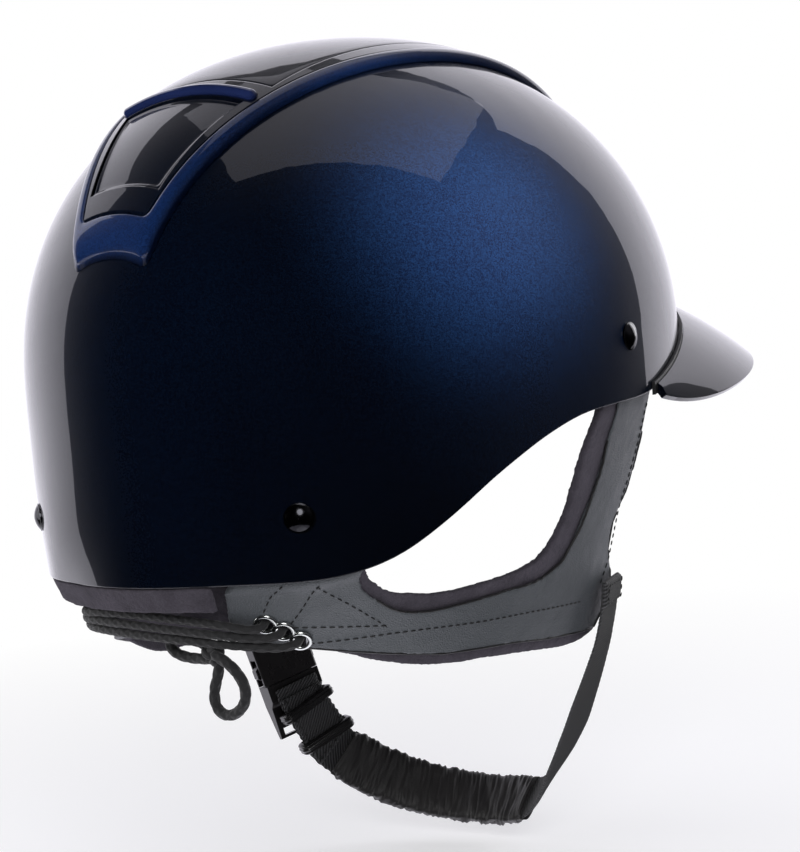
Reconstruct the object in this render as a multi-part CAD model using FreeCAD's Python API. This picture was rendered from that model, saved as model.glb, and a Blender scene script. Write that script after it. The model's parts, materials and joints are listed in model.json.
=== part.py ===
"""Equestrian riding helmet, modelled as an assembly of separate pieces.

Frame: millimetres, +Z up, the peak points to -Y, the rider's right is -X.
The origin is the centre of the shell's widest level section, where the head sits.
"""
import FreeCAD, Part
import math
import os

V = FreeCAD.Vector

# ---------------------------------------------------------------- driving sizes
# Shell: level sections are ellipses, upright sections are superellipses.
half_width = 111.0
half_length = 136.0
crown_height = 115.0
crown_power = 2.13
skirt_depth = 237.0
skirt_power = 2.4
shell_wall = 3.0
drawn_half_width = 111.0      # the size the side and plan outlines below are drawn for
drawn_half_length = 136.0
rim_side_view = [(-140, 15.0), (-120, 11.5), (-80, -1.0), (-50, -11.5), (-25, -18.5),
                 (0, -20.5), (20, -22.5), (40, -29.0), (60, -40.0), (75, -51.0),
                 (90, -61.0), (105, -66.0), (122, -66.5), (140, -66.5)]

# Foam liner and comfort lining
glue_gap = 0.3
liner_thickness = 23.0
liner_rim_lift = 8.0
comfort_gap = 0.5
comfort_thickness = 5.0
comfort_band_height = 34.0
crown_pad_radius = 46.0
hook_dot_radius = 9.0
hook_dot_thickness = 0.8

# Crown panel over the top of the shell
panel_seat = 0.2
panel_rise = 3.0
panel_half_width = 52.0
panel_side_radius = 292.0
panel_widest_y = -10.0
panel_rear_y = 128.5
panel_front_y = -119.0
trim_width = 4.5
trim_rise = 3.6
panel_gap = 0.35
plate_half_width = 40.0
plate_side_radius = 455.0
plate_rear_y = 76.0
plate_front_y = -70.0
vent_top_y = 86.0
vent_bottom_y = 118.0
vent_top_half = 27.0
vent_bottom_half = 15.5
vent_rise = 2.3
front_vent_top_y = -80.0
front_vent_bottom_y = -108.0
lip_radius = 2.1
lip_half_length = 28.5
slot_half_length = 20.0
slot_half_width = 3.5
mesh_thickness = 0.8
mesh_edge_gap = 0.1

# Peak and its seam
peak_length = 46.0
peak_end_angle = 75.0
peak_root_thickness = 3.2
peak_edge_thickness = 2.2
peak_droop_front = 25.0
peak_droop_side = 60.0
gasket_thickness = 1.2
gasket_height = 4.6
peak_gap = 0.2

# Rivets that hold the harness tabs
rivet_head_radius = 4.4
rivet_head_rise = 2.1
rivet_ring_radius = 4.9
rivet_shank_radius = 2.0
rivet_hole_clearance = 0.2
washer_radius = 5.5
washer_thickness = 1.0
rear_rivet_x = 60.0
rear_rivet_z = -45.6
front_rivet_y = -12.0
front_rivet_z = 1.9
tab_width = 18.0
tab_thickness = 1.3

# Leather harness with its fleece backing
leather_thickness = 1.4
lining_thickness = 3.0
sew_gap = 0.15
harness_shell_gap = 1.0
harness_low_half_width = 78.0
harness_low_half_length = 108.0
harness_low_z = -100.0
eyelet_radius = 4.1
eyelet_hole_radius = 2.5
eyelet_rise = 0.9

# Fleece at the nape
nape_cover_start = 166.5
nape_cover_end = 224.0
nape_cover_offset = -0.5
nape_cover_low_offset = -3.2
nape_cover_low_z = -75.5
nape_cover_wall = 3.0
nape_cushion_low_z = -84.0
nape_cushion_wall = 9.0
nape_cushion_half_angle = 22.0

# Rear lace
lace_diameter = 3.0
loop_diameter = 3.8

# Chin strap
web_width = 20.0
web_thickness = 1.6
sleeve_margin = 1.5
sleeve_thickness = 7.5
buckle_margin = 2.5
buckle_thickness = 9.0
buckle_wall = 2.0
buckle_face = 1.7
buckle_gap = 0.35
socket_length = 22.0
cavity_depth = 13.5
window_depth = 11.5
slot_height = 3.9
bar_height = 2.4
bar_thickness = 3.0
loop_leg = 6.0
plug_length = 23.0
latch_width = 3.0
latch_height = 3.6
latch_travel = 1.6
latch_root = -7.4
keeper_wall = 1.4
keeper_length = 4.6
keeper_room = 0.7

# Sizes that follow from those above
harness_top_offset = -shell_wall - harness_shell_gap
sleeve_width = web_width + 2 * sleeve_margin
buckle_width = web_width + 2 * buckle_margin

os.makedirs("parts", exist_ok=True)


def save(node, shape):
    """Write one node, after checking that every solid in it is sound."""
    for solid in shape.Solids:
        if not solid.isValid() or solid.Volume <= 0:
            print("BAD SOLID in", node, solid.isValid(), solid.Volume)
    print("%-24s solids %d volume %.0f" % (node, len(shape.Solids), shape.Volume))
    shape.exportStep("parts/%s.step" % node)


def group(shapes):
    return shapes[0] if len(shapes) == 1 else Part.makeCompound(shapes)


def mirror(shape):
    return shape.mirror(V(0, 0, 0), V(1, 0, 0))


def solids_of(shape):
    return group(shape.Solids)


def along(y):
    """A drawn front-to-back place, carried to the driving length."""
    return y * half_length / drawn_half_length


def across(x):
    """A drawn side-to-side place, carried to the driving width."""
    return x * half_width / drawn_half_width


# ---------------------------------------------------------------- the dome
def dome_value(p, offset):
    level = math.hypot(p.x / (half_width + offset), p.y / (half_length + offset))
    depth, power = (crown_height, crown_power) if p.z > 0 else (skirt_depth, skirt_power)
    return (level ** power + abs(p.z / (depth + offset)) ** power) ** (1.0 / power)


def dome_ray(direction, offset):
    return direction * (1.0 / dome_value(direction, offset))


def dome_ring(z, offset):
    """How much of the widest ellipse the level section at z keeps."""
    depth, power = (crown_height, crown_power) if z > 0 else (skirt_depth, skirt_power)
    return (1.0 - abs(z / (depth + offset)) ** power) ** (1.0 / power)


def dome_at(angle, z, offset):
    """The point at a plan angle from the front towards the rider's right, in degrees."""
    s, c = math.sin(math.radians(angle)), math.cos(math.radians(angle))
    r = dome_ring(z, offset) / math.hypot(s / (half_width + offset), c / (half_length + offset))
    return V(-r * s, -r * c, z)


def dome_over(x, y, offset):
    """The point of the upper dome straight over a plan place."""
    level = math.hypot(x / (half_width + offset), y / (half_length + offset))
    z = (crown_height + offset) * (1.0 - level ** crown_power) ** (1.0 / crown_power)
    return V(x, y, z)


def dome_normal(p):
    step = 0.01
    g = [dome_value(p + d, 0.0) - dome_value(p - d, 0.0)
         for d in (V(step, 0, 0), V(0, step, 0), V(0, 0, step))]
    return V(*g).normalize()


def rim_z(y):
    """Height of the shell's rim: cubic Hermite through the drawn side view."""
    pts = [(along(a), b) for a, b in rim_side_view]
    y = min(max(y, pts[0][0]), pts[-1][0])
    i = max(k for k in range(len(pts) - 1) if pts[k][0] <= y)
    slopes = []
    for k in range(len(pts)):
        a, b = pts[max(k - 1, 0)], pts[min(k + 1, len(pts) - 1)]
        slopes.append((b[1] - a[1]) / (b[0] - a[0]))
    (y0, z0), (y1, z1) = pts[i], pts[i + 1]
    h = y1 - y0
    t = (y - y0) / h
    return ((2 * t ** 3 - 3 * t ** 2 + 1) * z0 + (t ** 3 - 2 * t ** 2 + t) * h * slopes[i]
            + (3 * t ** 2 - 2 * t ** 3) * z1 + (t ** 3 - t ** 2) * h * slopes[i + 1])


def rim_at(angle, offset, lift=0.0):
    """The rim's point at a plan angle, on the dome grown by offset."""
    z = rim_z(0.0) + lift
    for _ in range(60):
        p = dome_at(angle, z, offset)
        z = 0.5 * z + 0.5 * (rim_z(p.y) + lift)
    return dome_at(angle, z, offset)


# ---------------------------------------------------------------- thick sheets
def spline_face(grid):
    surface = Part.BSplineSurface()
    surface.interpolate(grid)
    return surface


def thick_sheet(outer, inner):
    """A solid between two grids of points that match row by row."""
    a, b = spline_face(outer), spline_face(inner)
    faces = [a.toShape(), b.toShape()]
    u0, u1, v0, v1 = a.bounds()
    p0, p1, q0, q1 = b.bounds()
    pairs = [(a.uIso(u0), b.uIso(p0)), (a.uIso(u1), b.uIso(p1)),
             (a.vIso(v0), b.vIso(q0)), (a.vIso(v1), b.vIso(q1))]
    for c, d in pairs:
        faces.append(Part.makeRuledSurface(c.toShape(), d.toShape()))
    shell = Part.makeShell(faces)
    shell.sewShape()
    solid = Part.makeSolid(shell)
    if solid.Volume < 0:
        solid.reverse()
    return solid


dome_spread = math.radians(124.0)
dome_squareness = 0.3
dome_steps = 21


def dome_grid(offset):
    """Points over the dome with no pole: a square bent towards a disc."""
    rows = []
    for i in range(dome_steps):
        s = 2.0 * i / (dome_steps - 1) - 1.0
        row = []
        for j in range(dome_steps):
            t = 2.0 * j / (dome_steps - 1) - 1.0
            u = s * math.sqrt(1.0 - dome_squareness * t * t)
            v = t * math.sqrt(1.0 - dome_squareness * s * s)
            r = math.hypot(u, v)
            tilt = dome_spread * r
            k = math.sin(tilt) / r if r > 1e-9 else 0.0
            row.append(dome_ray(V(k * u, k * v, math.cos(tilt)), offset))
        rows.append(row)
    return rows


def dome_slab(outer_offset, inner_offset):
    return thick_sheet(dome_grid(outer_offset), dome_grid(inner_offset))


def curve(points):
    spline = Part.BSplineCurve()
    spline.interpolate(points)
    return spline.toShape()


def prism(edges, direction):
    return Part.Face(Part.Wire(Part.__sortEdges__(edges))).extrude(direction)


def polygon_edges(points):
    return [Part.makeLine(a, b) for a, b in zip(points, points[1:])]


far = 400.0


def below_rim(lift):
    """Everything under the rim's side view, raised by lift."""
    steps = 28
    y0, y1 = along(rim_side_view[0][0]), along(rim_side_view[-1][0])
    line = [V(-far, y0 + (y1 - y0) * k / steps, rim_z(y0 + (y1 - y0) * k / steps) + lift)
            for k in range(steps + 1)]
    corners = [line[-1], V(-far, far, line[-1].z), V(-far, far, -far), V(-far, -far, -far),
               V(-far, -far, line[0].z), line[0]]
    return prism([curve(line)] + polygon_edges(corners), V(2 * far, 0, 0))


def rod(start, end, radius):
    return Part.makeCylinder(radius, (end - start).Length, start, end - start)


def box_at(origin, x_dir, y_dir, z_dir, size, centre=(0.0, 0.0, 0.0)):
    """A box given by its centre in a local frame of unit vectors."""
    low = [c - s / 2.0 for c, s in zip(centre, size)]
    block = Part.makeBox(size[0], size[1], size[2], V(*low))
    return block.transformGeometry(local_frame(origin, x_dir, y_dir, z_dir))


def local_frame(origin, x_dir, y_dir, z_dir):
    return FreeCAD.Matrix(x_dir.x, y_dir.x, z_dir.x, origin.x,
                          x_dir.y, y_dir.y, z_dir.y, origin.y,
                          x_dir.z, y_dir.z, z_dir.z, origin.z,
                          0, 0, 0, 1)


# ---------------------------------------------------------------- shell and liner
def rivet_places():
    """Seat point and outward normal of each rivet, right side first."""
    ring = dome_ring(rear_rivet_z, 0.0)
    rear_x = across(rear_rivet_x)
    rear_y = half_length * math.sqrt(ring ** 2 - (rear_x / half_width) ** 2)
    ring = dome_ring(front_rivet_z, 0.0)
    front_y = along(front_rivet_y)
    front_x = half_width * math.sqrt(ring ** 2 - (front_y / half_length) ** 2)
    places = {"rear": [], "front": []}
    for side in (-1, 1):
        rear = V(side * rear_x, rear_y, rear_rivet_z)
        front = V(side * front_x, front_y, front_rivet_z)
        places["rear"].append((rear, dome_normal(rear)))
        places["front"].append((front, dome_normal(front)))
    return places


rivets = rivet_places()
rivet_hole_radius = rivet_shank_radius + rivet_hole_clearance
liner_offset = -shell_wall - glue_gap
washer_recess = tab_thickness + washer_thickness + 2 * glue_gap


def slot_prism(y, shrink):
    """An upright prism with round ends, over the vent slot's plan."""
    r, x = slot_half_width - shrink, slot_half_length
    outline = [Part.makeLine(V(-x, y - r, 0), V(x, y - r, 0)),
               Part.Arc(V(x, y - r, 0), V(x + r, y, 0), V(x, y + r, 0)).toShape(),
               Part.makeLine(V(x, y + r, 0), V(-x, y + r, 0)),
               Part.Arc(V(-x, y + r, 0), V(-x - r, y, 0), V(-x, y - r, 0)).toShape()]
    return prism(outline, V(0, 0, far))


slot_rear_y = along(vent_top_y) - 1.0
slot_front_y = along(front_vent_top_y) + 1.0


def make_shell():
    body = dome_slab(0.0, -shell_wall).cut(below_rim(0.0))
    for place in rivets.values():
        for p, n in place:
            body = body.cut(rod(p - n * 3 * shell_wall, p + n * 3 * shell_wall, rivet_hole_radius))
    for y in (slot_rear_y, slot_front_y):
        body = body.cut(slot_prism(y, 0.0))
    return solids_of(body)


def tab_frame(p, n):
    """Down-the-wall and sideways directions for a harness tab at a rivet."""
    side = n.cross(V(0, 0, 1)).normalize()
    down = side.cross(n).normalize()
    if down.z > 0:
        down = -down
    return side, down


def tab_zone(p, n, width, up):
    """The part of space a tab may fill, from above its rivet down past the rim."""
    side, down = tab_frame(p, n)
    return box_at(p, side, down, n, (width, up + 60.0, 30.0), (0, 30.0 - up / 2.0, -8.0))


def make_liner():
    outer, inner = liner_offset, liner_offset - liner_thickness
    body = dome_slab(outer, inner).cut(below_rim(liner_rim_lift))
    groove = dome_slab(outer + 1.0, outer - washer_recess)
    for place in rivets.values():
        for p, n in place:
            body = body.cut(groove.common(tab_zone(p, n, tab_width + 1.0, washer_radius + 3.0)))
    for y in (slot_rear_y, slot_front_y):
        body = body.cut(slot_prism(y, 0.0))
    return solids_of(body)


def make_tabs():
    """Four webbing tabs that run from the rivets down to the rim."""
    outer = liner_offset - 0.1
    sheet = dome_slab(outer, outer - tab_thickness)
    tabs = {}
    for row, place in rivets.items():
        for (p, n), hand in zip(place, ("right", "left")):
            lift = 5.5 if row == "rear" else 7.0
            tab = sheet.common(tab_zone(p, n, tab_width, washer_radius + 2.0))
            tab = tab.cut(below_rim(lift))
            tab = tab.cut(rod(p - n * far / 10, p + n * 5, rivet_hole_radius))
            tabs["harness_tab_%s_%s" % (row, hand)] = solids_of(tab)
    return tabs


def make_rivets(place):
    """Domed head with a thin ring, and the shank through shell and tab."""
    solids = []
    depth = -liner_offset + 0.1 + tab_thickness + washer_thickness + glue_gap
    for p, n in place:
        r, h = rivet_head_radius, rivet_head_rise
        base = 0.1
        sag = Part.Arc(V(0, 0, base + h), V(0.72 * r, 0, base + 0.62 * h), V(r, 0, base + 0.5))
        edges = [sag.toShape(), Part.makeLine(V(r, 0, base + 0.5), V(rivet_ring_radius, 0, base + 0.4)),
                 Part.makeLine(V(rivet_ring_radius, 0, base + 0.4), V(rivet_ring_radius, 0, base)),
                 Part.makeLine(V(rivet_ring_radius, 0, base), V(rivet_shank_radius, 0, base)),
                 Part.makeLine(V(rivet_shank_radius, 0, base), V(rivet_shank_radius, 0, -depth)),
                 Part.makeLine(V(rivet_shank_radius, 0, -depth), V(0, 0, -depth)),
                 Part.makeLine(V(0, 0, -depth), V(0, 0, base + h))]
        head = Part.Face(Part.Wire(edges)).revolve(V(0, 0, 0), V(0, 0, 1), 360)
        side, down = tab_frame(p, n)
        solids.append(solids_of(head.transformGeometry(local_frame(p, down, n.cross(down), n))))
    return group([s for shape in solids for s in shape.Solids])


def make_washers():
    solids = []
    top = liner_offset - 0.1 - tab_thickness - 0.35
    for place in rivets.values():
        for p, n in place:
            a, b = p + n * top, p + n * (top - washer_thickness)
            ring = rod(a, b, washer_radius).cut(rod(a + n, b - n, rivet_shank_radius + 0.05))
            solids.append(ring)
    return group(solids)


# ---------------------------------------------------------------- crown panel
def lens_prism(half, radius, rear, front, shrink):
    """Upright prism of a lens outline with straight ends, drawn in by shrink."""
    rear, front = along(rear) - shrink, along(front) + shrink
    half, radius = across(half), radius * half_length / drawn_half_length
    mid = along(panel_widest_y)

    def x_at(y):
        return half - radius + math.sqrt(radius ** 2 - (y - mid) ** 2) - shrink

    a, b, c = V(x_at(rear), rear, 0), V(x_at(mid), mid, 0), V(x_at(front), front, 0)
    edges = [Part.Arc(a, b, c).toShape(), Part.makeLine(c, V(-c.x, c.y, 0)),
             Part.Arc(V(-c.x, c.y, 0), V(-b.x, b.y, 0), V(-a.x, a.y, 0)).toShape(),
             Part.makeLine(V(-a.x, a.y, 0), a)]
    return prism(edges, V(0, 0, far))


def panel_prism(shrink):
    return lens_prism(panel_half_width, panel_side_radius, panel_rear_y, panel_front_y, shrink)


def plate_prism(shrink):
    return lens_prism(plate_half_width, plate_side_radius, plate_rear_y, plate_front_y, shrink)


def vent_prism(top_y, bottom_y, grow):
    """Upright prism of the trapezoid vent cover."""
    top_y, bottom_y = along(top_y), along(bottom_y)
    sign = 1.0 if bottom_y > top_y else -1.0
    top, bottom = across(vent_top_half) + grow, across(vent_bottom_half) + grow
    top_y, bottom_y = top_y - sign * grow, bottom_y + sign * grow
    pts = [V(-top, top_y, 0), V(top, top_y, 0), V(bottom, bottom_y, 0), V(-bottom, bottom_y, 0)]
    return prism(polygon_edges(pts + pts[:1]), V(0, 0, far))


def lip_bar(y, radius):
    """A round bar bent over the dome along the top of a vent cover."""
    x = across(lip_half_length)
    rise = panel_rise + 0.4
    a, m, b = dome_over(-x, y, rise), dome_over(0, y, rise), dome_over(x, y, rise)
    path = Part.Arc(a, m, b)
    start = path.tangent(path.FirstParameter)[0]
    section = Part.Wire(Part.makeCircle(radius, a, start))
    bar = Part.Wire(path.toShape()).makePipeShell([section], True, False)
    ball_a = Part.makeSphere(radius, a)
    ball_b = Part.makeSphere(radius, b)
    return solids_of(bar.fuse([ball_a, ball_b]).removeSplitter())


lip_rear_y = along(vent_top_y) - lip_radius - 0.6
lip_front_y = along(front_vent_top_y) + lip_radius + 0.6


def make_crown():
    """Trim ring, panel, inner plate and the two vent covers."""
    low = dome_slab(panel_rise, panel_seat)
    high = dome_slab(trim_rise, panel_seat)
    trim = high.common(panel_prism(0.0).cut(panel_prism(trim_width)))
    panel = low.common(panel_prism(trim_width + panel_gap).cut(plate_prism(-panel_gap)))
    plate = low.common(plate_prism(0.0))
    vents = [(vent_top_y, vent_bottom_y, lip_rear_y), (front_vent_top_y, front_vent_bottom_y, lip_front_y)]
    cover_slab = dome_slab(vent_rise, panel_seat)
    covers, lips = [], []
    for top_y, bottom_y, lip_y in vents:
        panel = panel.cut(vent_prism(top_y, bottom_y, panel_gap))
        panel = panel.cut(lip_bar(lip_y, lip_radius + panel_gap))
        cover = cover_slab.common(vent_prism(top_y, bottom_y, 0.0))
        covers.append(solids_of(cover.cut(lip_bar(lip_y, lip_radius + panel_gap))))
        lips.append(lip_bar(lip_y, lip_radius))
    plate = plate.cut([lip_bar(y, lip_radius + panel_gap) for y in (lip_rear_y, lip_front_y)])
    return {"crown_trim": solids_of(trim), "crown_panel": solids_of(panel),
            "crown_plate": solids_of(plate), "rear_vent_cover": covers[0],
            "front_vent_cover": covers[1], "rear_vent_lip": lips[0], "front_vent_lip": lips[1]}


def make_mesh(y):
    """Fine grille that closes the vent channel half way through the liner."""
    mid = liner_offset - liner_thickness / 2.0
    sheet = dome_slab(mid, mid - mesh_thickness)
    return solids_of(sheet.common(slot_prism(y, mesh_edge_gap)))


# ---------------------------------------------------------------- peak
def peak_rows():
    """Top and bottom points of the peak, from its root to its edge."""
    top, bottom = [], []
    steps, across_steps = 24, 5
    root_offset = gasket_thickness + 2 * peak_gap
    for i in range(steps + 1):
        angle = peak_end_angle * (2.0 * i / steps - 1.0)
        share = abs(angle) / (peak_end_angle * 1.03)
        width = peak_length * math.cos(share * math.pi / 2) ** 0.8
        droop = math.radians(peak_droop_front + (peak_droop_side - peak_droop_front) * share ** 1.5)
        root = rim_at(angle, root_offset)
        flat = dome_normal(root)
        flat = V(flat.x, flat.y, 0).normalize()
        run = flat * math.cos(droop) + V(0, 0, -math.sin(droop))
        up = flat * math.sin(droop) + V(0, 0, math.cos(droop))
        row_top, row_bottom = [], []
        for k in range(across_steps):
            q = k / (across_steps - 1.0)
            bulge = 0.03 * width * 4 * q * (1 - q)
            wall = peak_root_thickness + (peak_edge_thickness - peak_root_thickness) * q
            middle = root + run * (width * q) + up * bulge
            if k == 0:
                row_top.append(rim_at(angle, root_offset, wall / 2))
                row_bottom.append(rim_at(angle, root_offset, -wall / 2))
            else:
                row_top.append(middle + up * (wall / 2))
                row_bottom.append(middle - up * (wall / 2))
        top.append(row_top)
        bottom.append(row_bottom)
    return top, bottom


def make_peak():
    top, bottom = peak_rows()
    return thick_sheet(top, bottom)


def make_gasket():
    """Black seam strip on the shell, behind the peak's root."""
    inner, outer = [], []
    steps = 24
    for i in range(steps + 1):
        angle = (peak_end_angle + 1.0) * (2.0 * i / steps - 1.0)
        lower, upper = [], []
        for k in range(4):
            lift = gasket_height * (k / 3.0 - 0.5) + 0.4
            lower.append(rim_at(angle, peak_gap, lift))
            upper.append(rim_at(angle, peak_gap + gasket_thickness, lift))
        inner.append(lower)
        outer.append(upper)
    return thick_sheet(outer, inner)


# ---------------------------------------------------------------- harness
def low_ring(angle, offset):
    s, c = math.sin(math.radians(angle)), math.cos(math.radians(angle))
    width = across(harness_low_half_width) + offset
    length = along(harness_low_half_length) + offset
    return V(-width * s, -length * c, harness_low_z)


def harness_point(angle, drop, offset):
    """A point of the right harness sheet: drop is 0 at the rim and 1 on the low ring."""
    top = rim_at(angle, harness_top_offset + offset)
    if drop < 0:
        return rim_at(angle, harness_top_offset + offset, -60.0 * drop)
    return top + (low_ring(angle, offset) - top) * drop


def harness_sheet(outer, inner, first, last):
    grids = []
    for offset in (outer, inner):
        rows = []
        for i in range(22):
            angle = first + (last - first) * i / 21.0
            rows.append([harness_point(angle, drop, offset)
                         for drop in (-0.08, -0.04, 0.0, 0.12, 0.3, 0.5, 0.7, 0.9, 1.1, 1.25)])
        grids.append(rows)
    return thick_sheet(grids[0], grids[1])


leather_front = [(-37, -8), (-38.5, -22), (-40.5, -34), (-38.7, -48.6), (-34, -58), (-29, -66),
                 (-31, -76), (-39, -85), (-43, -95), (-34, -106.2)]
leather_low = [(-34, -106.2), (-17.6, -105), (3, -103.6), (24, -101.6), (54, -100.3), (68.5, -97.8),
               (82, -95), (98.4, -91), (110, -87.5), (116, -80), (121, -70)]
leather_ear = [(97, -50), (95.5, -62), (92.8, -70), (84.4, -76.7), (75.5, -81.5), (65, -83.5),
               (52, -83), (34.5, -81.6), (16.4, -80), (5.7, -75.5), (-0.4, -67), (-3.6, -59),
               (-7.3, -45), (-8.6, -30), (-8.7, -8)]
lining_front = [(-39, -8), (-40.5, -22), (-42.5, -34), (-40.9, -48.6), (-36, -58), (-31, -66),
                (-33, -76), (-41, -85), (-45.5, -95), (-36, -108)]
lining_low = [(-36, -108), (-19, -109.4), (4, -107.4), (26, -105.6), (44, -104.8), (57.6, -103.4),
              (68.6, -100.7), (80, -96.5), (95, -91.5), (107, -88), (113, -80), (118, -70)]
lining_ear = [(101, -48), (97.5, -58), (91.8, -66), (86.6, -70.6), (80.1, -74.2), (70.4, -76.6),
              (58, -78), (41, -77.1), (27, -75.2), (16.9, -72.5), (11.0, -67), (7.4, -60),
              (5.2, -50), (4.2, -40), (1.8, -28), (0.5, -8)]


def side_prism(front, low, ear, top):
    """Side-view outline of a harness side, extruded through its right half."""
    def at(point):
        return V(-far, along(point[0]), point[1])

    f, b, e = [at(p) for p in front], [at(p) for p in low], [at(p) for p in ear]
    rear_top = V(-far, b[-1].y + 4, top)
    ear_top = V(-far, e[0].y, top)
    strap_top = V(-far, e[-1].y, top)
    front_top = V(-far, f[0].y, top)
    edges = [curve(f), curve(b), Part.makeLine(b[-1], rear_top), Part.makeLine(rear_top, ear_top),
             Part.makeLine(ear_top, e[0]), curve(e), Part.makeLine(e[-1], strap_top),
             Part.makeLine(strap_top, front_top), Part.makeLine(front_top, f[0])]
    return prism(edges, V(far, 0, 0))


def eyelet_places(right):
    """Centre and outward normal of the three eyelets on one side."""
    drops = (0.44, 0.53, 0.65) if right else (0.30, 0.37, 0.46)
    places = []
    for angle, drop in zip((158.4, 155.1, 151.6), drops):
        p = harness_point(angle, drop, 0.0)
        e1 = harness_point(angle + 1, drop, 0.0) - harness_point(angle - 1, drop, 0.0)
        e2 = harness_point(angle, drop + 0.02, 0.0) - harness_point(angle, drop - 0.02, 0.0)
        n = e1.cross(e2).normalize()
        if n.dot(V(p.x, p.y, 0)) < 0:
            n = -n
        if not right:
            p, n = V(-p.x, p.y, p.z), V(-n.x, n.y, n.z)
        places.append((p, n))
    return places


def make_harness():
    """Leather and fleece of both sides, with the eyelet holes."""
    top = 8.0
    leather = harness_sheet(0.0, -leather_thickness, 60.0, 165.0)
    lining = harness_sheet(-leather_thickness - sew_gap,
                           -leather_thickness - sew_gap - lining_thickness, 58.0, 163.0)
    leather = leather.common(side_prism(leather_front, leather_low, leather_ear, top))
    lining = lining.common(side_prism(lining_front, lining_low, lining_ear, top))
    parts = {}
    for hand in ("right", "left"):
        skin, back = (leather, lining) if hand == "right" else (mirror(leather), mirror(lining))
        for p, n in eyelet_places(hand == "right"):
            hole = rod(p + n * 4, p - n * 9, eyelet_hole_radius + 0.5)
            skin, back = skin.cut(hole), back.cut(hole)
        parts["harness_leather_" + hand] = solids_of(skin)
        parts["harness_lining_" + hand] = solids_of(back)
    return parts


def make_eyelets(right):
    """Rolled ring outside the leather with a short barrel through it."""
    solids = []
    for p, n in eyelet_places(right):
        r0, r1, h = eyelet_hole_radius, eyelet_radius, eyelet_rise
        base, depth = 0.12, leather_thickness + sew_gap + 0.8
        roll = Part.Arc(V(r0, 0, base + 0.3), V((r0 + r1) / 2, 0, base + h), V(r1, 0, base + 0.15))
        edges = [roll.toShape(), Part.makeLine(V(r1, 0, base + 0.15), V(r1, 0, base)),
                 Part.makeLine(V(r1, 0, base), V(r0 + 0.4, 0, base)),
                 Part.makeLine(V(r0 + 0.4, 0, base), V(r0 + 0.4, 0, -depth)),
                 Part.makeLine(V(r0 + 0.4, 0, -depth), V(r0, 0, -depth)),
                 Part.makeLine(V(r0, 0, -depth), V(r0, 0, base + 0.3))]
        ring = Part.Face(Part.Wire(edges)).revolve(V(0, 0, 0), V(0, 0, 1), 360)
        side, down = tab_frame(p, n)
        solids += ring.transformGeometry(local_frame(p, down, n.cross(down), n)).Solids
    return group(solids)


# ---------------------------------------------------------------- comfort lining
def make_comfort():
    """Head band, crown pad and the hook dots that hold them to the liner."""
    outer = liner_offset - liner_thickness - hook_dot_thickness - 2 * comfort_gap
    sheet = dome_slab(outer, outer - comfort_thickness)
    band = sheet.cut(below_rim(liner_rim_lift + 3.0))
    band = band.common(below_rim(liner_rim_lift + 3.0 + comfort_band_height))
    up = rod(V(0, 0, 0), V(0, 0, far), crown_pad_radius)
    pad = sheet.common(up)
    dots_outer = liner_offset - liner_thickness - comfort_gap / 2
    dot_sheet = dome_slab(dots_outer, dots_outer - hook_dot_thickness)
    dots = []
    for x, y in ((0, 22), (0, -22), (22, 0), (-22, 0)):
        place = rod(V(across(x), along(y), 0), V(across(x), along(y), far), hook_dot_radius)
        dots += dot_sheet.common(place).Solids
    for angle in (20, 90, 150, 210, 270, 340):
        lift = liner_rim_lift + 3.0 + comfort_band_height / 2
        p = rim_at(angle, dots_outer, lift)
        n = dome_normal(p)
        dots += dot_sheet.common(rod(p - n * 6, p + n * 6, hook_dot_radius)).Solids
    return {"comfort_band": solids_of(band), "crown_pad": solids_of(pad), "hook_dots": group(dots)}


def nape_sheet(first, last, top_offset, low_offset, low_z, wall, lift):
    """A padded strip that hangs under the rim and curls in towards the neck."""
    grids = []
    for inward in (0.0, wall):
        rows = []
        for i in range(16):
            angle = first + (last - first) * i / 15.0
            top = rim_at(angle, top_offset - inward, lift)
            low = dome_at(angle, low_z, low_offset - inward)
            rows.append([top + (low - top) * q for q in (0.0, 0.33, 0.67, 1.0)])
        grids.append(rows)
    return thick_sheet(grids[0], grids[1])


def make_nape():
    """The fleece flap over the lacing and the cushion behind the neck."""
    cover = nape_sheet(nape_cover_start, nape_cover_end, nape_cover_offset, nape_cover_low_offset,
                       nape_cover_low_z, nape_cover_wall, -0.4)
    cushion_top = harness_top_offset - leather_thickness - lining_thickness - 1.0
    half = nape_cushion_half_angle
    cushion = nape_sheet(180.0 - half, 180.0 + half, cushion_top, cushion_top - 13.0,
                         nape_cushion_low_z, nape_cushion_wall, 4.0)
    return {"nape_cover": cover, "nape_cushion": cushion}


# ---------------------------------------------------------------- rear lace
def cord_path(points, note):
    """Straight runs joined by tangent arcs, each as large as its runs allow."""
    edges, start, length, radii = [], points[0], 0.0, []
    for i in range(1, len(points) - 1):
        a, p, b = points[i - 1], points[i], points[i + 1]
        d0, d1 = (p - a).normalize(), (b - p).normalize()
        turn = d0.getAngle(d1)
        run = 0.45 * min((p - a).Length, (b - p).Length)
        radius = run / math.tan(turn / 2)
        p0, p1 = p - d0 * run, p + d1 * run
        bend = (d1 - d0).normalize()
        mid = p + bend * (radius / math.cos(turn / 2) - radius)
        edges.append(Part.LineSegment(start, p0).toShape())
        edges.append(Part.Arc(p0, mid, p1).toShape())
        start = p1
        radii.append(round(radius, 1))
    edges.append(Part.LineSegment(start, points[-1]).toShape())
    wire = Part.Wire(edges)
    print(note, "length %.1f, bend radii %s" % (wire.Length, radii))
    return wire


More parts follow.
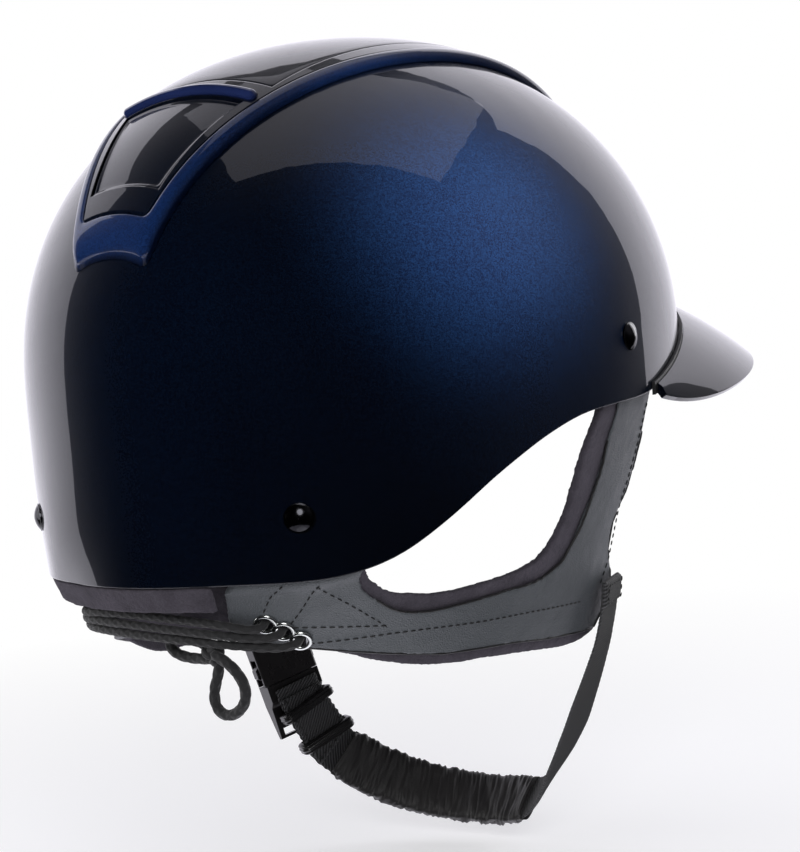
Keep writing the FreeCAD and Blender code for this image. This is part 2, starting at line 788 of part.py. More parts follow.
def cord_tube(points, diameter, note):
    wire = cord_path(points, note)
    start = (points[1] - points[0]).normalize()
    ring = Part.Wire(Part.makeCircle(diameter / 2.0, points[0], start))
    tube = wire.makePipeShell([ring], True, False)
    exact = math.pi * (diameter / 2.0) ** 2 * wire.Length
    print(note, "volume share %.4f" % (tube.Volume / exact))
    return tube


strand_middles = [(V(-26, 120.4, -79.8), V(26, 121.2, -76.8)),
                  (V(-27, 119.8, -84.0), V(27, 120.6, -80.3)),
                  (V(-28, 118.8, -87.3), V(28, 119.6, -83.9))]


def make_strands():
    """Three runs of lace across the nape, from eyelet to eyelet."""
    solids = []
    lift = eyelet_rise + lace_diameter / 2 + 0.9
    for (p, n), (q, m), (a, b) in zip(eyelet_places(True), eyelet_places(False), strand_middles):
        route = [p - n * 3.6, p + n * lift, a, b, q + m * lift, q - m * 3.6]
        solids.append(cord_tube(route, lace_diameter, "lace strand"))
    return group(solids)


knot_centre = V(-19.3, 115.0, -90.7)
knot_radius = 4.6
loop_routes = {
    "lace_loop_side": [(-18.0, 114.8, -88.8), (-12.4, 114.2, -87.2), (-6.5, 114.0, -86.2),
                       (-1.4, 114.0, -86.2), (1.6, 113.9, -88.2), (0.0, 113.6, -91.4),
                       (-4.8, 113.2, -93.0), (-10.8, 113.0, -93.4), (-18.3, 113.8, -93.0)],
    "lace_loop_hanging": [(-20.9, 116.2, -91.0), (-26.0, 116.6, -92.9), (-30.5, 116.5, -96.2),
                          (-33.2, 115.8, -101.0), (-32.2, 115.0, -106.4), (-27.8, 114.5, -110.6),
                          (-22.0, 114.1, -112.2), (-17.2, 113.6, -109.6), (-16.4, 113.2, -104.4),
                          (-18.6, 112.9, -98.9), (-20.4, 113.2, -93.6), (-20.6, 113.9, -91.0)],
}


def make_knot():
    """The tied middle of the bow, as a plain ball."""
    return solids_of(Part.makeSphere(knot_radius, knot_centre))


# ---------------------------------------------------------------- chin strap
def placed(x, y, z):
    """A drawn point carried to the driving width and length."""
    return V(across(x), along(y), z)


lip = placed(78.5, -32.0, -130.5)
buckle_up = V(0.20, 0.17, 0.965).normalize()
buckle_in = V(-0.93, 0.37, 0.0)
buckle_in = (buckle_in - buckle_up * buckle_in.dot(buckle_up)).normalize()
buckle_side = buckle_in.cross(buckle_up).normalize()


def at_buckle(side, up, inward):
    return lip + buckle_side * side + buckle_up * up + buckle_in * inward


def buckle_box(size, centre):
    """A box in the buckle's frame: across, along and through sizes."""
    return box_at(lip, buckle_side, buckle_up, buckle_in, size, centre)


web_over_plug = buckle_thickness / 2 + 0.7
web_left = [at_buckle(0.0, -2.5, web_over_plug), at_buckle(-0.1, -8.0, web_over_plug),
            at_buckle(-1.0, -13.5, web_over_plug + 0.1), at_buckle(-2.3, -19.0, web_over_plug + 0.2),
            at_buckle(-4.1, -26.0, web_over_plug + 0.4), at_buckle(-6.0, -33.0, web_over_plug + 0.6)]
web_chin = [placed(55.0, -47.0, -168.5), placed(43.0, -53.0, -175.5), placed(28.0, -59.5, -180.8),
            placed(12.0, -63.5, -183.0), placed(-3.0, -65.0, -183.2), placed(-17.0, -62.8, -181.0)]
web_right = [placed(-29.0, -57.5, -173.5), placed(-40.5, -51.5, -161.5),
             placed(-51.5, -46.0, -148.0), placed(-61.0, -41.0, -134.0), placed(-69.0, -37.5, -121.0),
             placed(-75.4, -35.0, -109.0), placed(-79.2, -34.0, -98.0), placed(-81.0, -34.0, -87.0)]
web_line = web_right[::-1] + web_chin[::-1] + web_left[::-1]
web_sides = ([V(-0.29, 0.956, 0)] * 3 + [V(-0.2, 0.97, -0.05), V(-0.1, 0.98, -0.1), V(0, 0.96, -0.2),
             V(0.03, 0.92, -0.35), V(0, 0.82, -0.55), V(0, 0.75, -0.66), V(0, 0.72, -0.69),
             V(0.1, 0.72, -0.69), V(0.2, 0.72, -0.66), V(0.3, 0.73, -0.6), V(0.38, 0.74, -0.55),
             V(0.41, 0.79, -0.45), V(0.40, 0.83, -0.38), V(0.37, 0.87, -0.3), buckle_side, buckle_side,
             buckle_side])


def web_station(place):
    """Centre, side and inward directions at a place along the chin webbing."""
    i = min(int(place), len(web_line) - 2)
    t = place - i

    def knot(k):
        return web_line[min(max(k, 0), len(web_line) - 1)]

    p0, p1, p2, p3 = knot(i - 1), knot(i), knot(i + 1), knot(i + 2)
    centre = (p1 * 2 + (p2 - p0) * t + (p0 * 2 - p1 * 5 + p2 * 4 - p3) * t ** 2
              + (p1 * 3 - p0 - p2 * 3 + p3) * t ** 3) * 0.5
    way = ((p2 - p0) + (p0 * 2 - p1 * 5 + p2 * 4 - p3) * (2 * t)
           + (p1 * 3 - p0 - p2 * 3 + p3) * (3 * t ** 2)).normalize()
    side = web_sides[i] * (1 - t) + web_sides[i + 1] * t
    inward = way.cross(side).normalize()
    return centre, inward.cross(way).normalize(), inward


def ribbon(first, last, width, low, high, count):
    """Webbing between two places; low and high are its faces along the inward direction."""
    outer, inner = [], []
    for k in range(count):
        centre, side, inward = web_station(first + (last - first) * k / (count - 1.0))
        across_web = [width * (q - 0.5) for q in (0.0, 0.33, 0.67, 1.0)]
        outer.append([centre + side * s + inward * low for s in across_web])
        inner.append([centre + side * s + inward * high for s in across_web])
    return thick_sheet(outer, inner)


last_place = len(web_line) - 1.0
right_end = 9.2
left_start = 10.2
sleeve_start = 8.0
sleeve_end = 13.6
tail_start = 13.95
keeper_low_place = 14.75
keeper_high_place = 17.1
half_web = web_thickness / 2.0


def make_webbing():
    parts = {}
    parts["webbing_right"] = ribbon(0.0, right_end, web_width, -half_web, half_web, 26)
    parts["webbing_left"] = ribbon(left_start, last_place, web_width, -half_web, half_web, 24)
    tail_low = half_web + 0.12
    parts["webbing_tail"] = ribbon(tail_start, 18.2, web_width - 0.4, tail_low, tail_low + web_thickness, 14)
    sleeve = ribbon(sleeve_start, sleeve_end, sleeve_width, -sleeve_thickness / 2, sleeve_thickness / 2, 20)
    room = half_web + 0.35
    channel = ribbon(sleeve_start - 0.2, sleeve_end + 0.2, web_width + 0.7, -room, room, 22)
    parts["chin_sleeve"] = solids_of(sleeve.cut(channel))
    return parts


def make_keeper(place, wall):
    """Rubber ring round both layers of webbing."""
    centre, side, inward = web_station(place)
    way = side.cross(inward).normalize()
    low, high = -half_web - keeper_room, half_web + 0.12 + web_thickness + keeper_room
    middle, depth = (low + high) / 2, high - low
    wide = web_width + 2 * keeper_room
    ring = box_at(centre, side, way, inward, (wide + 2 * wall, keeper_length, depth + 2 * wall),
                  (0, 0, middle))
    ring = ring.makeFillet(0.45 * wall, ring.Edges)
    hole = box_at(centre, side, way, inward, (wide, keeper_length + 2, depth), (0, 0, middle))
    return solids_of(ring.cut(hole))


bar_low = socket_length - bar_height
cavity_half = buckle_width / 2 - buckle_wall
cavity_height = buckle_thickness - 2 * buckle_face
latch_centre = cavity_half - buckle_gap - latch_width / 2


def make_socket():
    """Female half: a flat box with a mouth, open side windows and a webbing bar."""
    wide, thick, long = buckle_width, buckle_thickness, socket_length
    body = buckle_box((wide, long, thick), (0, long / 2, 0))
    body = body.makeFillet(1.5, long_edges(body))
    mouth = buckle_box((2 * cavity_half, cavity_depth + 2, cavity_height), (0, cavity_depth / 2 - 1, 0))
    windows = buckle_box((wide + 4, window_depth + 2, latch_height + 1.2), (0, window_depth / 2 - 1, 0))
    slot = buckle_box((web_width + 0.8, slot_height, thick + 4), (0, bar_low - slot_height / 2, 0))
    trim = thick / 2 - bar_thickness / 2 + 1
    faces = [buckle_box((web_width + 0.8, bar_height + 1, trim),
                        (0, bar_low + bar_height / 2 + 0.4, side * (bar_thickness + trim) / 2))
             for side in (-1, 1)]
    return solids_of(body.cut([mouth, windows, slot] + faces))


def long_edges(body):
    """Edges of a buckle box that run along the strap."""
    found = []
    for edge in body.Edges:
        run = (edge.Vertexes[1].Point - edge.Vertexes[0].Point).normalize()
        if abs(run.dot(buckle_up)) > 0.9:
            found.append(edge)
    return found


def make_plug():
    """Male half: a wedge-shaped frame with a tongue that enters the socket."""
    side_gap = 0.4
    wide = buckle_width - 2 * side_gap
    tip = -plug_length
    pts = [(-buckle_gap, 4.1), (-7.0, 3.9), (-9.6, 1.4), (tip, 0.2), (tip, -1.8),
           (-9.0, -4.2), (-buckle_gap, -4.2), (-buckle_gap, 4.1)]
    outline = [at_buckle(-wide / 2, up, inward) for up, inward in pts]
    body = prism(polygon_edges(outline), buckle_side * wide)
    tongue_wide = 2 * (latch_centre - latch_width / 2 - latch_travel - 0.4)
    tongue_long = cavity_depth - 0.6
    tongue = buckle_box((tongue_wide, tongue_long + 1.0, cavity_height - 2 * buckle_gap),
                        (0, tongue_long / 2 - 0.5, 0))
    body = body.fuse(tongue).removeSplitter()
    pocket_wide = latch_width + latch_travel + 0.8
    for side in (-1, 1):
        middle = side * (latch_centre - (latch_travel - 0.4) / 2)
        body = body.cut(buckle_box((pocket_wide, -latch_root + 1.4, latch_height + 1.0),
                                   (middle, latch_root / 2 + 0.1, 0)))
    slot = buckle_box((web_width, 3.0, 4 * buckle_thickness), (0, 2.6 - plug_length, 0))
    return solids_of(body.cut(slot))


def make_latch(side):
    """Springy arm with the thumb button that stands in the socket's side window."""
    inner, outer = latch_centre - latch_width / 2, latch_centre + latch_width / 2
    proud = buckle_width / 2 + 0.9
    end = window_depth - 1.0
    pts = [(inner, latch_root), (outer, latch_root), (outer, 1.4), (proud, 4.0), (proud, 7.4),
           (outer - 0.4, end), (inner, end), (inner, latch_root)]
    outline = [at_buckle(side * x, up, -latch_height / 2) for x, up in pts]
    return solids_of(prism(polygon_edges(outline), buckle_in * latch_height))


loop_inner = bar_thickness / 2 + 0.25
loop_outer = loop_inner + web_thickness
loop_top = socket_length + loop_leg


def make_buckle_loop():
    """The sewn end of the drop webbing, folded round the socket's bar."""
    def p(up, inward):
        return at_buckle(-web_width / 2, up, inward)

    def bend(radius):
        return Part.Arc(p(bar_low, -radius), p(bar_low - radius, 0), p(bar_low, radius)).toShape()

    edges = [Part.makeLine(p(loop_top, -loop_outer), p(bar_low, -loop_outer)), bend(loop_outer),
             Part.makeLine(p(bar_low, loop_outer), p(loop_top, loop_outer)),
             Part.makeLine(p(loop_top, loop_outer), p(loop_top, loop_inner)),
             Part.makeLine(p(loop_top, loop_inner), p(bar_low, loop_inner)), bend(loop_inner),
             Part.makeLine(p(bar_low, -loop_inner), p(loop_top, -loop_inner)),
             Part.makeLine(p(loop_top, -loop_inner), p(loop_top, -loop_outer))]
    return prism(edges, buckle_side * web_width)


def make_drop():
    """Webbing from the left junction down to the buckle's sewn end."""
    leg = (loop_inner + loop_outer) / 2
    low = at_buckle(0, loop_top + 0.15, -leg)
    top = V(-web_right[-1].x, web_right[-1].y, web_right[-1].z)
    line = [low, at_buckle(0, loop_top + 4.0, -leg), top + V(1.2, 1.0, -6.0), top]
    sides = [buckle_side, buckle_side * 0.8 + V(0.2 * 0.29, 0.2 * 0.956, 0), V(0.29, 0.956, -0.05),
             V(0.29, 0.956, 0)]
    outer, inner = [], []
    for k in range(4):
        way = line[min(k + 1, 3)] - line[max(k - 1, 0)]
        if k == 0:
            way = buckle_up
        inward = sides[k].cross(way).normalize()
        if inward.x > 0:
            inward = -inward
        side = sides[k].normalize()
        across_web = [web_width * (q - 0.5) for q in (0.0, 0.33, 0.67, 1.0)]
        outer.append([line[k] + side * s - inward * half_web for s in across_web])
        inner.append([line[k] + side * s + inward * half_web for s in across_web])
    return thick_sheet(outer, inner)


# ---------------------------------------------------------------- write every node
save("outer_shell", make_shell())
save("eps_liner", make_liner())
for tab_node, tab_shape in make_tabs().items():
    save(tab_node, tab_shape)
save("rivets_rear", make_rivets(rivets["rear"]))
save("rivets_front", make_rivets(rivets["front"]))
save("rivet_washers", make_washers())
for crown_node, crown_shape in make_crown().items():
    save(crown_node, crown_shape)
save("rear_vent_mesh", make_mesh(slot_rear_y))
save("front_vent_mesh", make_mesh(slot_front_y))
save("peak", make_peak())
save("peak_gasket", make_gasket())
for harness_node, harness_shape in make_harness().items():
    save(harness_node, harness_shape)
save("eyelets_right", make_eyelets(True))
save("eyelets_left", make_eyelets(False))
for comfort_node, comfort_shape in make_comfort().items():
    save(comfort_node, comfort_shape)
for nape_node, nape_shape in make_nape().items():
    save(nape_node, nape_shape)

knot = make_knot()
save("lace_knot", knot)
save("lace_strands", make_strands())
for loop_node, loop_route in loop_routes.items():
    loop = cord_tube([V(*p) for p in loop_route], loop_diameter, loop_node)
    save(loop_node, solids_of(loop.cut(knot)))

for web_node, web_shape in make_webbing().items():
    save(web_node, web_shape)
save("webbing_drop", make_drop())
save("webbing_buckle_loop", make_buckle_loop())
save("buckle_socket", make_socket())
save("buckle_plug", make_plug())
save("latch_front", make_latch(-1))
save("latch_rear", make_latch(1))
save("keeper_lower", make_keeper(keeper_low_place, keeper_wall))
save("keeper_upper", make_keeper(keeper_high_place, keeper_wall))
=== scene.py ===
import json
import math

import bmesh
import bpy
import numpy as np
from mathutils import Matrix, Vector, noise
from mathutils.bvhtree import BVHTree

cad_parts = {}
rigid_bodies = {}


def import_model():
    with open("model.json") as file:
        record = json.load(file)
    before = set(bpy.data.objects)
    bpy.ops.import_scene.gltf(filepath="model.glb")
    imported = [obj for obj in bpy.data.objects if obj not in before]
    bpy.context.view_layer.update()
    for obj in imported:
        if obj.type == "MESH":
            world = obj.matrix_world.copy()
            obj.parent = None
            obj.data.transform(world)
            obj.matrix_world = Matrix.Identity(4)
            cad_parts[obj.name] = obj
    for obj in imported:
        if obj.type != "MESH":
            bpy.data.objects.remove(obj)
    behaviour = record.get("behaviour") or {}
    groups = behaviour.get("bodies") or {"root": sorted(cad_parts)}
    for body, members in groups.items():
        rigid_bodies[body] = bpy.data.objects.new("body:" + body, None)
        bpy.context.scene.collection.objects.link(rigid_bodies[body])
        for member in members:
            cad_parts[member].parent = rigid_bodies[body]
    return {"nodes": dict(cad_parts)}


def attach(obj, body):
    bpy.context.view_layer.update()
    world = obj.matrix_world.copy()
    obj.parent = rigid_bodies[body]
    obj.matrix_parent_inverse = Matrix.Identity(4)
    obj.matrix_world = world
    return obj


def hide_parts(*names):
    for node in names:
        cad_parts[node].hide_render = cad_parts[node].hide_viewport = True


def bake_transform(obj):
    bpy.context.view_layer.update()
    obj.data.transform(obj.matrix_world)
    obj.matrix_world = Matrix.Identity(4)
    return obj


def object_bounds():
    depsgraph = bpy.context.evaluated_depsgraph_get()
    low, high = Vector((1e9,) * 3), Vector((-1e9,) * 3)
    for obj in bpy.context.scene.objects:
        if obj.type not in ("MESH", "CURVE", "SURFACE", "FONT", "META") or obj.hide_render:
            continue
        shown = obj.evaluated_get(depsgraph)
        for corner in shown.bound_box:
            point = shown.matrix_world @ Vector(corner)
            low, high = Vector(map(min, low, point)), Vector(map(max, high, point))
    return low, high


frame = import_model()
cad_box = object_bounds()

# ---------------------------------------------------------------- Studio
# A pale floor under the helmet and soft boxes round it: a wide white wall on the
# far side, a square box overhead turned half a corner, and narrow spots that wake
# the flakes in the lacquer.
bpy.context.scene.view_settings.view_transform = "Standard"
eye = bpy.data.objects.new("camera", bpy.data.cameras.new("camera"))
bpy.context.collection.objects.link(eye)
bpy.context.scene.camera = eye
eye.data.lens = 95.98
eye.data.sensor_width = 36.0
eye.data.clip_start = 0.01
eye.matrix_world = Matrix(((-0.78751, -0.02284, -0.61588, -0.53496),
                           (-0.61120, -0.09940, 0.78521, 0.66243),
                           (-0.07916, 0.99479, 0.06432, 0.02801),
                           (0.0, 0.0, 0.0, 1.0)))


def add(tree, kind, out=0, settings={}, **inputs):
    """Adds a shader node; an input takes a number, a colour or another node's output."""
    made = tree.nodes.new("ShaderNode" + kind)
    for key, value in settings.items():
        setattr(made, key, value)
    for key, value in inputs.items():
        number = key[1:].isdigit()
        socket = made.inputs[int(key[1:])] if number else made.inputs[key.replace("_", " ")]
        if isinstance(value, bpy.types.NodeSocket):
            tree.links.new(value, socket)
        else:
            socket.default_value = value
    return made.outputs[out]


def maths(tree, operation, a, b=0.0, c=0.0):
    return add(tree, "Math", settings={"operation": operation}, i0=a, i1=b, i2=c)


def vectors(tree, operation, a, b, out=0):
    return add(tree, "VectorMath", out, {"operation": operation}, i0=a, i1=b)


def colour(tree, inputs, share, dark, light):
    """Blends the surface's colour from dark to light by a 0 to 1 share."""
    blend = add(tree, "Mix", "Result", {"data_type": "RGBA"}, Factor=share, A=(*dark, 1.0), B=(*light, 1.0))
    tree.links.new(blend, inputs["Base Color"])


def relief(tree, inputs, height, strength, depth, **more):
    """Shades the surface as if height were real, to a depth in metres."""
    bumped = add(tree, "Bump", Strength=strength, Distance=depth, Height=height, **more)
    tree.links.new(bumped, inputs["Normal"])


world = bpy.data.worlds.new("studio")
bpy.context.scene.world = world
world.use_nodes = True
sky = world.node_tree
sky.nodes.clear()
way = add(sky, "TexCoord", "Generated")
height = add(sky, "SeparateXYZ", "Z", Vector=way)
level = vectors(sky, "NORMALIZE", vectors(sky, "MULTIPLY", way, (1.0, 1.0, 0.0)), (0.0, 0.0, 0.0))
wall_middle = (0.719, -0.695, 0.0)
wall_edge = 0.47
wall_top = 0.70
wall_side = maths(sky, "GREATER_THAN", vectors(sky, "DOT_PRODUCT", level, wall_middle, "Value"), wall_edge)
wall = maths(sky, "MULTIPLY", wall_side, maths(sky, "LESS_THAN", height, wall_top))
lid_centre = (-0.02, -0.37, 1.0)
lid_long_way = (0.67, 0.742, 0.0)
lid_wide_way = (0.66, -0.751, 0.0)
overhead = vectors(sky, "DIVIDE", way, add(sky, "CombineXYZ", X=height, Y=height, Z=height))
reach = vectors(sky, "SUBTRACT", overhead, lid_centre)
lid_long = maths(sky, "COMPARE", vectors(sky, "DOT_PRODUCT", reach, lid_long_way, "Value"), 0.06, 0.56)
lid_wide = maths(sky, "COMPARE", vectors(sky, "DOT_PRODUCT", reach, lid_wide_way, "Value"), 0.0, 0.52)
lid = maths(sky, "MULTIPLY", maths(sky, "MULTIPLY", lid_long, lid_wide),
            maths(sky, "GREATER_THAN", height, 0.05))
haze_way = (-0.711, -0.462, 0.53)
haze_spread = 9.0
away = maths(sky, "SUBTRACT", vectors(sky, "DOT_PRODUCT", way, haze_way, "Value"), 1.0)
haze = maths(sky, "EXPONENT", maths(sky, "MULTIPLY", away, haze_spread))
ground = maths(sky, "LESS_THAN", height, -0.74)
amount = maths(sky, "MULTIPLY_ADD", wall, 1.2, maths(sky, "MULTIPLY_ADD", lid, 0.6,
               maths(sky, "MULTIPLY_ADD", haze, 0.30, maths(sky, "MULTIPLY_ADD", ground, 0.9, 0.012))))
studio = add(sky, "Background", Color=(0.93, 0.91, 1.0, 1.0), Strength=amount)
plain = add(sky, "Background", Color=(1.0, 1.0, 1.0, 1.0), Strength=1.0)
mixed = add(sky, "MixShader", Fac=add(sky, "LightPath", "Is Camera Ray"), i1=studio, i2=plain)
sky.links.new(mixed, sky.nodes.new("ShaderNodeOutputWorld").inputs["Surface"])


def new_material(name, **sockets):
    """A material with its shader's own sockets set by name; returns it with its node tree."""
    made = bpy.data.materials.new(name)
    made.use_nodes = True
    shader = made.node_tree.nodes["Principled BSDF"]
    for socket, value in sockets.items():
        shader.inputs[socket.replace("_", " ")].default_value = value
    return made, made.node_tree, shader.inputs


def new_piece(name, points, faces, material=None, smooth=True, uv=None):
    """An object at the origin from points in metres."""
    mesh = bpy.data.meshes.new(name)
    mesh.from_pydata([tuple(p) for p in points], [], faces)
    if material:
        mesh.materials.append(material)
    mesh.shade_smooth() if smooth else mesh.shade_flat()
    if uv is not None:
        layer = mesh.uv_layers.new(name="along")
        corners = np.empty(len(mesh.loops), int)
        mesh.loops.foreach_get("vertex_index", corners)
        layer.data.foreach_set("uv", np.asarray(uv, float)[corners].ravel())
    mesh.update()
    piece = bpy.data.objects.new(name, mesh)
    bpy.context.collection.objects.link(piece)
    return piece


def net(rows, columns, loop_rows=False, loop_columns=True):
    """Faces over rows of points, closed into loops where asked."""
    faces = []
    for r in range(rows if loop_rows else rows - 1):
        a, b = r * columns, (r + 1) % rows * columns
        for k in range(columns if loop_columns else columns - 1):
            j = (k + 1) % columns
            faces.append((a + k, a + j, b + j, b + k))
    return faces


floor_height = cad_box[0][2] - 0.004
floor_radius = 4.0
floor_paint, tree, paint = new_material("floor_paint", Roughness=0.9)
paint["Specular IOR Level"].default_value = 0.0
spread = vectors(tree, "LENGTH", add(tree, "TexCoord", "Object"), (0.0, 0.0, 0.0), "Value")
far_off = add(tree, "MapRange", Value=spread, From_Min=0.15, From_Max=0.75)
colour(tree, paint, far_off, (0.80, 0.80, 0.82), (0.0, 0.0, 0.0))
paint["Emission Color"].default_value = (1.0, 1.0, 1.0, 1.0)
tree.links.new(add(tree, "MapRange", Value=far_off, To_Min=0.35, To_Max=1.0), paint["Emission Strength"])
ring = [(floor_radius * math.cos(k * math.tau / 64), floor_radius * math.sin(k * math.tau / 64), floor_height)
        for k in range(64)]
floor = new_piece("floor", ring, [tuple(range(64))], floor_paint)
floor.visible_glossy = False


def lamp(name, kind, place, target, power, size, colour=(1.0, 1.0, 1.0), gloss=False):
    """A light at place that looks at target."""
    light = bpy.data.lights.new(name, kind)
    light.energy = power
    light.color = colour
    if kind == "AREA":
        light.shape = "DISK"
        light.size = size
    else:
        light.spot_size = math.radians(size)
        light.spot_blend = 1.0
        light.shadow_soft_size = 0.02
    made = bpy.data.objects.new(name, light)
    bpy.context.collection.objects.link(made)
    made.location = place
    made.rotation_euler = (Vector(target) - Vector(place)).to_track_quat("-Z", "Y").to_euler()
    made.visible_glossy = gloss
    made.visible_camera = False
    return made


soft_key = lamp("soft_key", "AREA", (-0.9, 0.9, 0.5), (0.0, 0.0, -0.08), 9.0, 0.7, gloss=True)
soft_fill = lamp("soft_fill", "AREA", (0.9, 0.7, 0.1), (0.0, 0.0, -0.10), 4.0, 0.8, gloss=True)
soft_front = lamp("soft_front", "AREA", (-0.4, -1.2, 0.3), (0.0, 0.0, -0.08), 5.0, 0.8, gloss=True)
soft_low = lamp("soft_low", "AREA", (-0.3, 0.2, -1.2), (0.0, 0.0, -0.06), 1.6, 0.9, gloss=True)
glow_places = [((-0.096, 0.046, 0.050), (-0.89, 0.30, 0.36), 14.5, 520.0),
               ((-0.099, 0.030, 0.034), (-0.91, 0.24, 0.33), 25.0, 40.0),
               ((-0.008, 0.131, 0.020), (-0.08, 0.96, 0.27), 34.0, 14.0)]
glows = []
for count, (place, facing, cone, power) in enumerate(glow_places):
    for side in (1, -1):
        spot = (side * place[0], place[1], place[2])
        stand = Vector((side * facing[0], facing[1], facing[2])) * 0.45
        glows.append(lamp(f"glow_{count}_{side}", "SPOT", Vector(spot) + stand, spot, power, cone,
                          (0.9, 0.97, 1.0)))


# ---------------------------------------------------------------- Shell
# The moulded shell, sprayed with a deep navy base full of fine flakes and a thick
# clear coat. It is the design's own solid; only its finish is made here.
def round_edges(tree, radius):
    """Shading normal with the sharp edges eased by a small radius."""
    return add(tree, "Bevel", settings={"samples": 6}, Radius=radius)


def lacquer(name, deep, bright, flake_amount, edge):
    """Flake base under clear coat; deep and bright are the two colours of the flakes."""
    made, tree, inputs = new_material(name, Metallic=0.35, Roughness=0.42, Coat_Weight=1.0,
                                      Coat_Roughness=0.012, Coat_IOR=1.5, Specular_IOR_Level=0.2)
    place = add(tree, "TexCoord", "Object")
    flake = add(tree, "TexVoronoi", "Color", Vector=place, Scale=2600.0)
    cloud = add(tree, "TexNoise", Vector=place, Scale=22.0, Detail=3.0)
    share = add(tree, "SeparateColor", "Red", Color=flake)
    share = maths(tree, "MULTIPLY_ADD", maths(tree, "SUBTRACT", share, 0.5), flake_amount,
                  maths(tree, "MULTIPLY_ADD", cloud, 0.5, 0.25))
    colour(tree, inputs, share, deep, bright)
    eased = round_edges(tree, edge)
    ripple = add(tree, "TexNoise", Vector=place, Scale=9.0, Detail=1.0)
    coat = add(tree, "Bump", Strength=0.02, Distance=0.002, Height=ripple, Normal=eased)
    facet = add(tree, "Bump", Strength=0.12, Distance=0.0004, Height=share, Normal=eased)
    tree.links.new(facet, inputs["Normal"])
    tree.links.new(coat, inputs["Coat Normal"])
    return made


navy = lacquer("navy_lacquer", (0.00015, 0.0004, 0.0016), (0.0005, 0.0018, 0.0056), 0.9, 0.0006)
violet_blue = lacquer("trim_lacquer", (0.0012, 0.0040, 0.018), (0.0040, 0.013, 0.050), 0.9, 0.0004)


def finish(material, *nodes):
    """Gives CAD nodes their material."""
    for name in nodes:
        mesh = frame["nodes"][name].data
        mesh.materials.clear()
        mesh.materials.append(material)
        mesh.polygons.foreach_set("material_index", [0] * len(mesh.polygons))


finish(navy, "outer_shell")

# ---------------------------------------------------------------- Crown panel
# A raised lens-shaped panel over the top: a bright blue trim ring, a panel let
# into it, a centre plate and two vent covers, all pressed on with hidden clips.
mm = 0.001
half_width, half_length = 111.0, 136.0
crown_height, crown_power = 115.0, 2.13
panel_seat = 0.2


def dome_over(x, y, rise):
    """The point of the upper dome straight over a plan place, in millimetres."""
    level = math.hypot(x / (half_width + rise), y / (half_length + rise))
    return x, y, (crown_height + rise) * max(1.0 - level ** crown_power, 0.0) ** (1.0 / crown_power)


def even_outline(corners, count):
    """A closed outline of count points at even steps, its corners a little rounded."""
    line = np.array(list(corners) + [corners[0]])
    run = np.concatenate([[0], np.cumsum(np.linalg.norm(np.diff(line, axis=0), axis=1))])
    at = np.arange(count) * run[-1] / count
    even = np.column_stack([np.interp(at, run, line[:, k]) for k in (0, 1)])
    for _ in range(3):
        even = (np.roll(even, 1, axis=0) + 2 * even + np.roll(even, -1, axis=0)) / 4
    return even


def lens_outline(half, radius, rear, front, widest=-10.0, count=420):
    """The lens plan drawn in by any inset, with straight ends."""
    def outline(inset):
        ys = np.linspace(rear - inset, front + inset, 90)
        xs = half - radius + np.sqrt(radius ** 2 - (ys - widest) ** 2) - inset
        right = [(-x, y) for x, y in zip(xs, ys)]
        return even_outline(right + [(-x, y) for x, y in right[::-1]], count)
    return outline


def vent_outline(top, bottom, count=300):
    """The trapezoid plan of a vent cover, drawn in by any inset."""
    sign = 1.0 if bottom > top else -1.0

    def outline(inset):
        wide, narrow = 27.0 - inset, 15.5 - inset
        y0, y1 = top + sign * inset, bottom - sign * inset
        corners = [(-wide, y0), (-narrow, y1), (narrow, y1), (wide, y0)]
        return even_outline(corners, count)
    return outline


def inlay(name, outline, edge, material, filled=True):
    """A plate or ring on the dome; edge lists its inset and rise from the seat up and over."""
    rows = [[dome_over(x, y, rise) for x, y in outline(inset)] for inset, rise in edge]
    count = len(rows[0])
    if filled:
        for rise, first in ((panel_seat, True), (edge[-1][1], False)):
            plan = outline(edge[0][0] if first else edge[-1][0])
            middle = plan.mean(axis=0)
            rings = [[dome_over(*(middle + (p - middle) * share), rise) for p in plan]
                     for share in (0.94, 0.86, 0.76, 0.64, 0.50, 0.35, 0.20, 0.08)]
            rows = rings[::-1] + rows if first else rows + rings
    points = [p for row in rows for p in row]
    faces = net(len(rows), count, loop_rows=not filled)
    if filled:
        last = len(rows) - 1
        points.append(tuple(np.mean(rows[0], axis=0)))
        points.append(tuple(np.mean(rows[-1], axis=0)))
        for k in range(count):
            j = (k + 1) % count
            faces.append((len(points) - 2, j, k))
            faces.append((len(points) - 1, last * count + k, last * count + j))
    piece = new_piece(name, np.array(points) * mm, faces, material)
    return turned_out(piece)


def turned_out(piece):
    """Makes every face of a closed piece point outwards."""
    welded = bmesh.new()
    welded.from_mesh(piece.data)
    bmesh.ops.recalc_face_normals(welded, faces=welded.faces)
    welded.to_mesh(piece.data)
    welded.free()
    return piece


def place(piece, body, slot, *nodes):
    """Rides a finished piece on its body, if it has just one, and hides the design's nodes it stands for."""
    if body:
        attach(piece, body)
    if nodes:
        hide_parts(*nodes)
    return piece


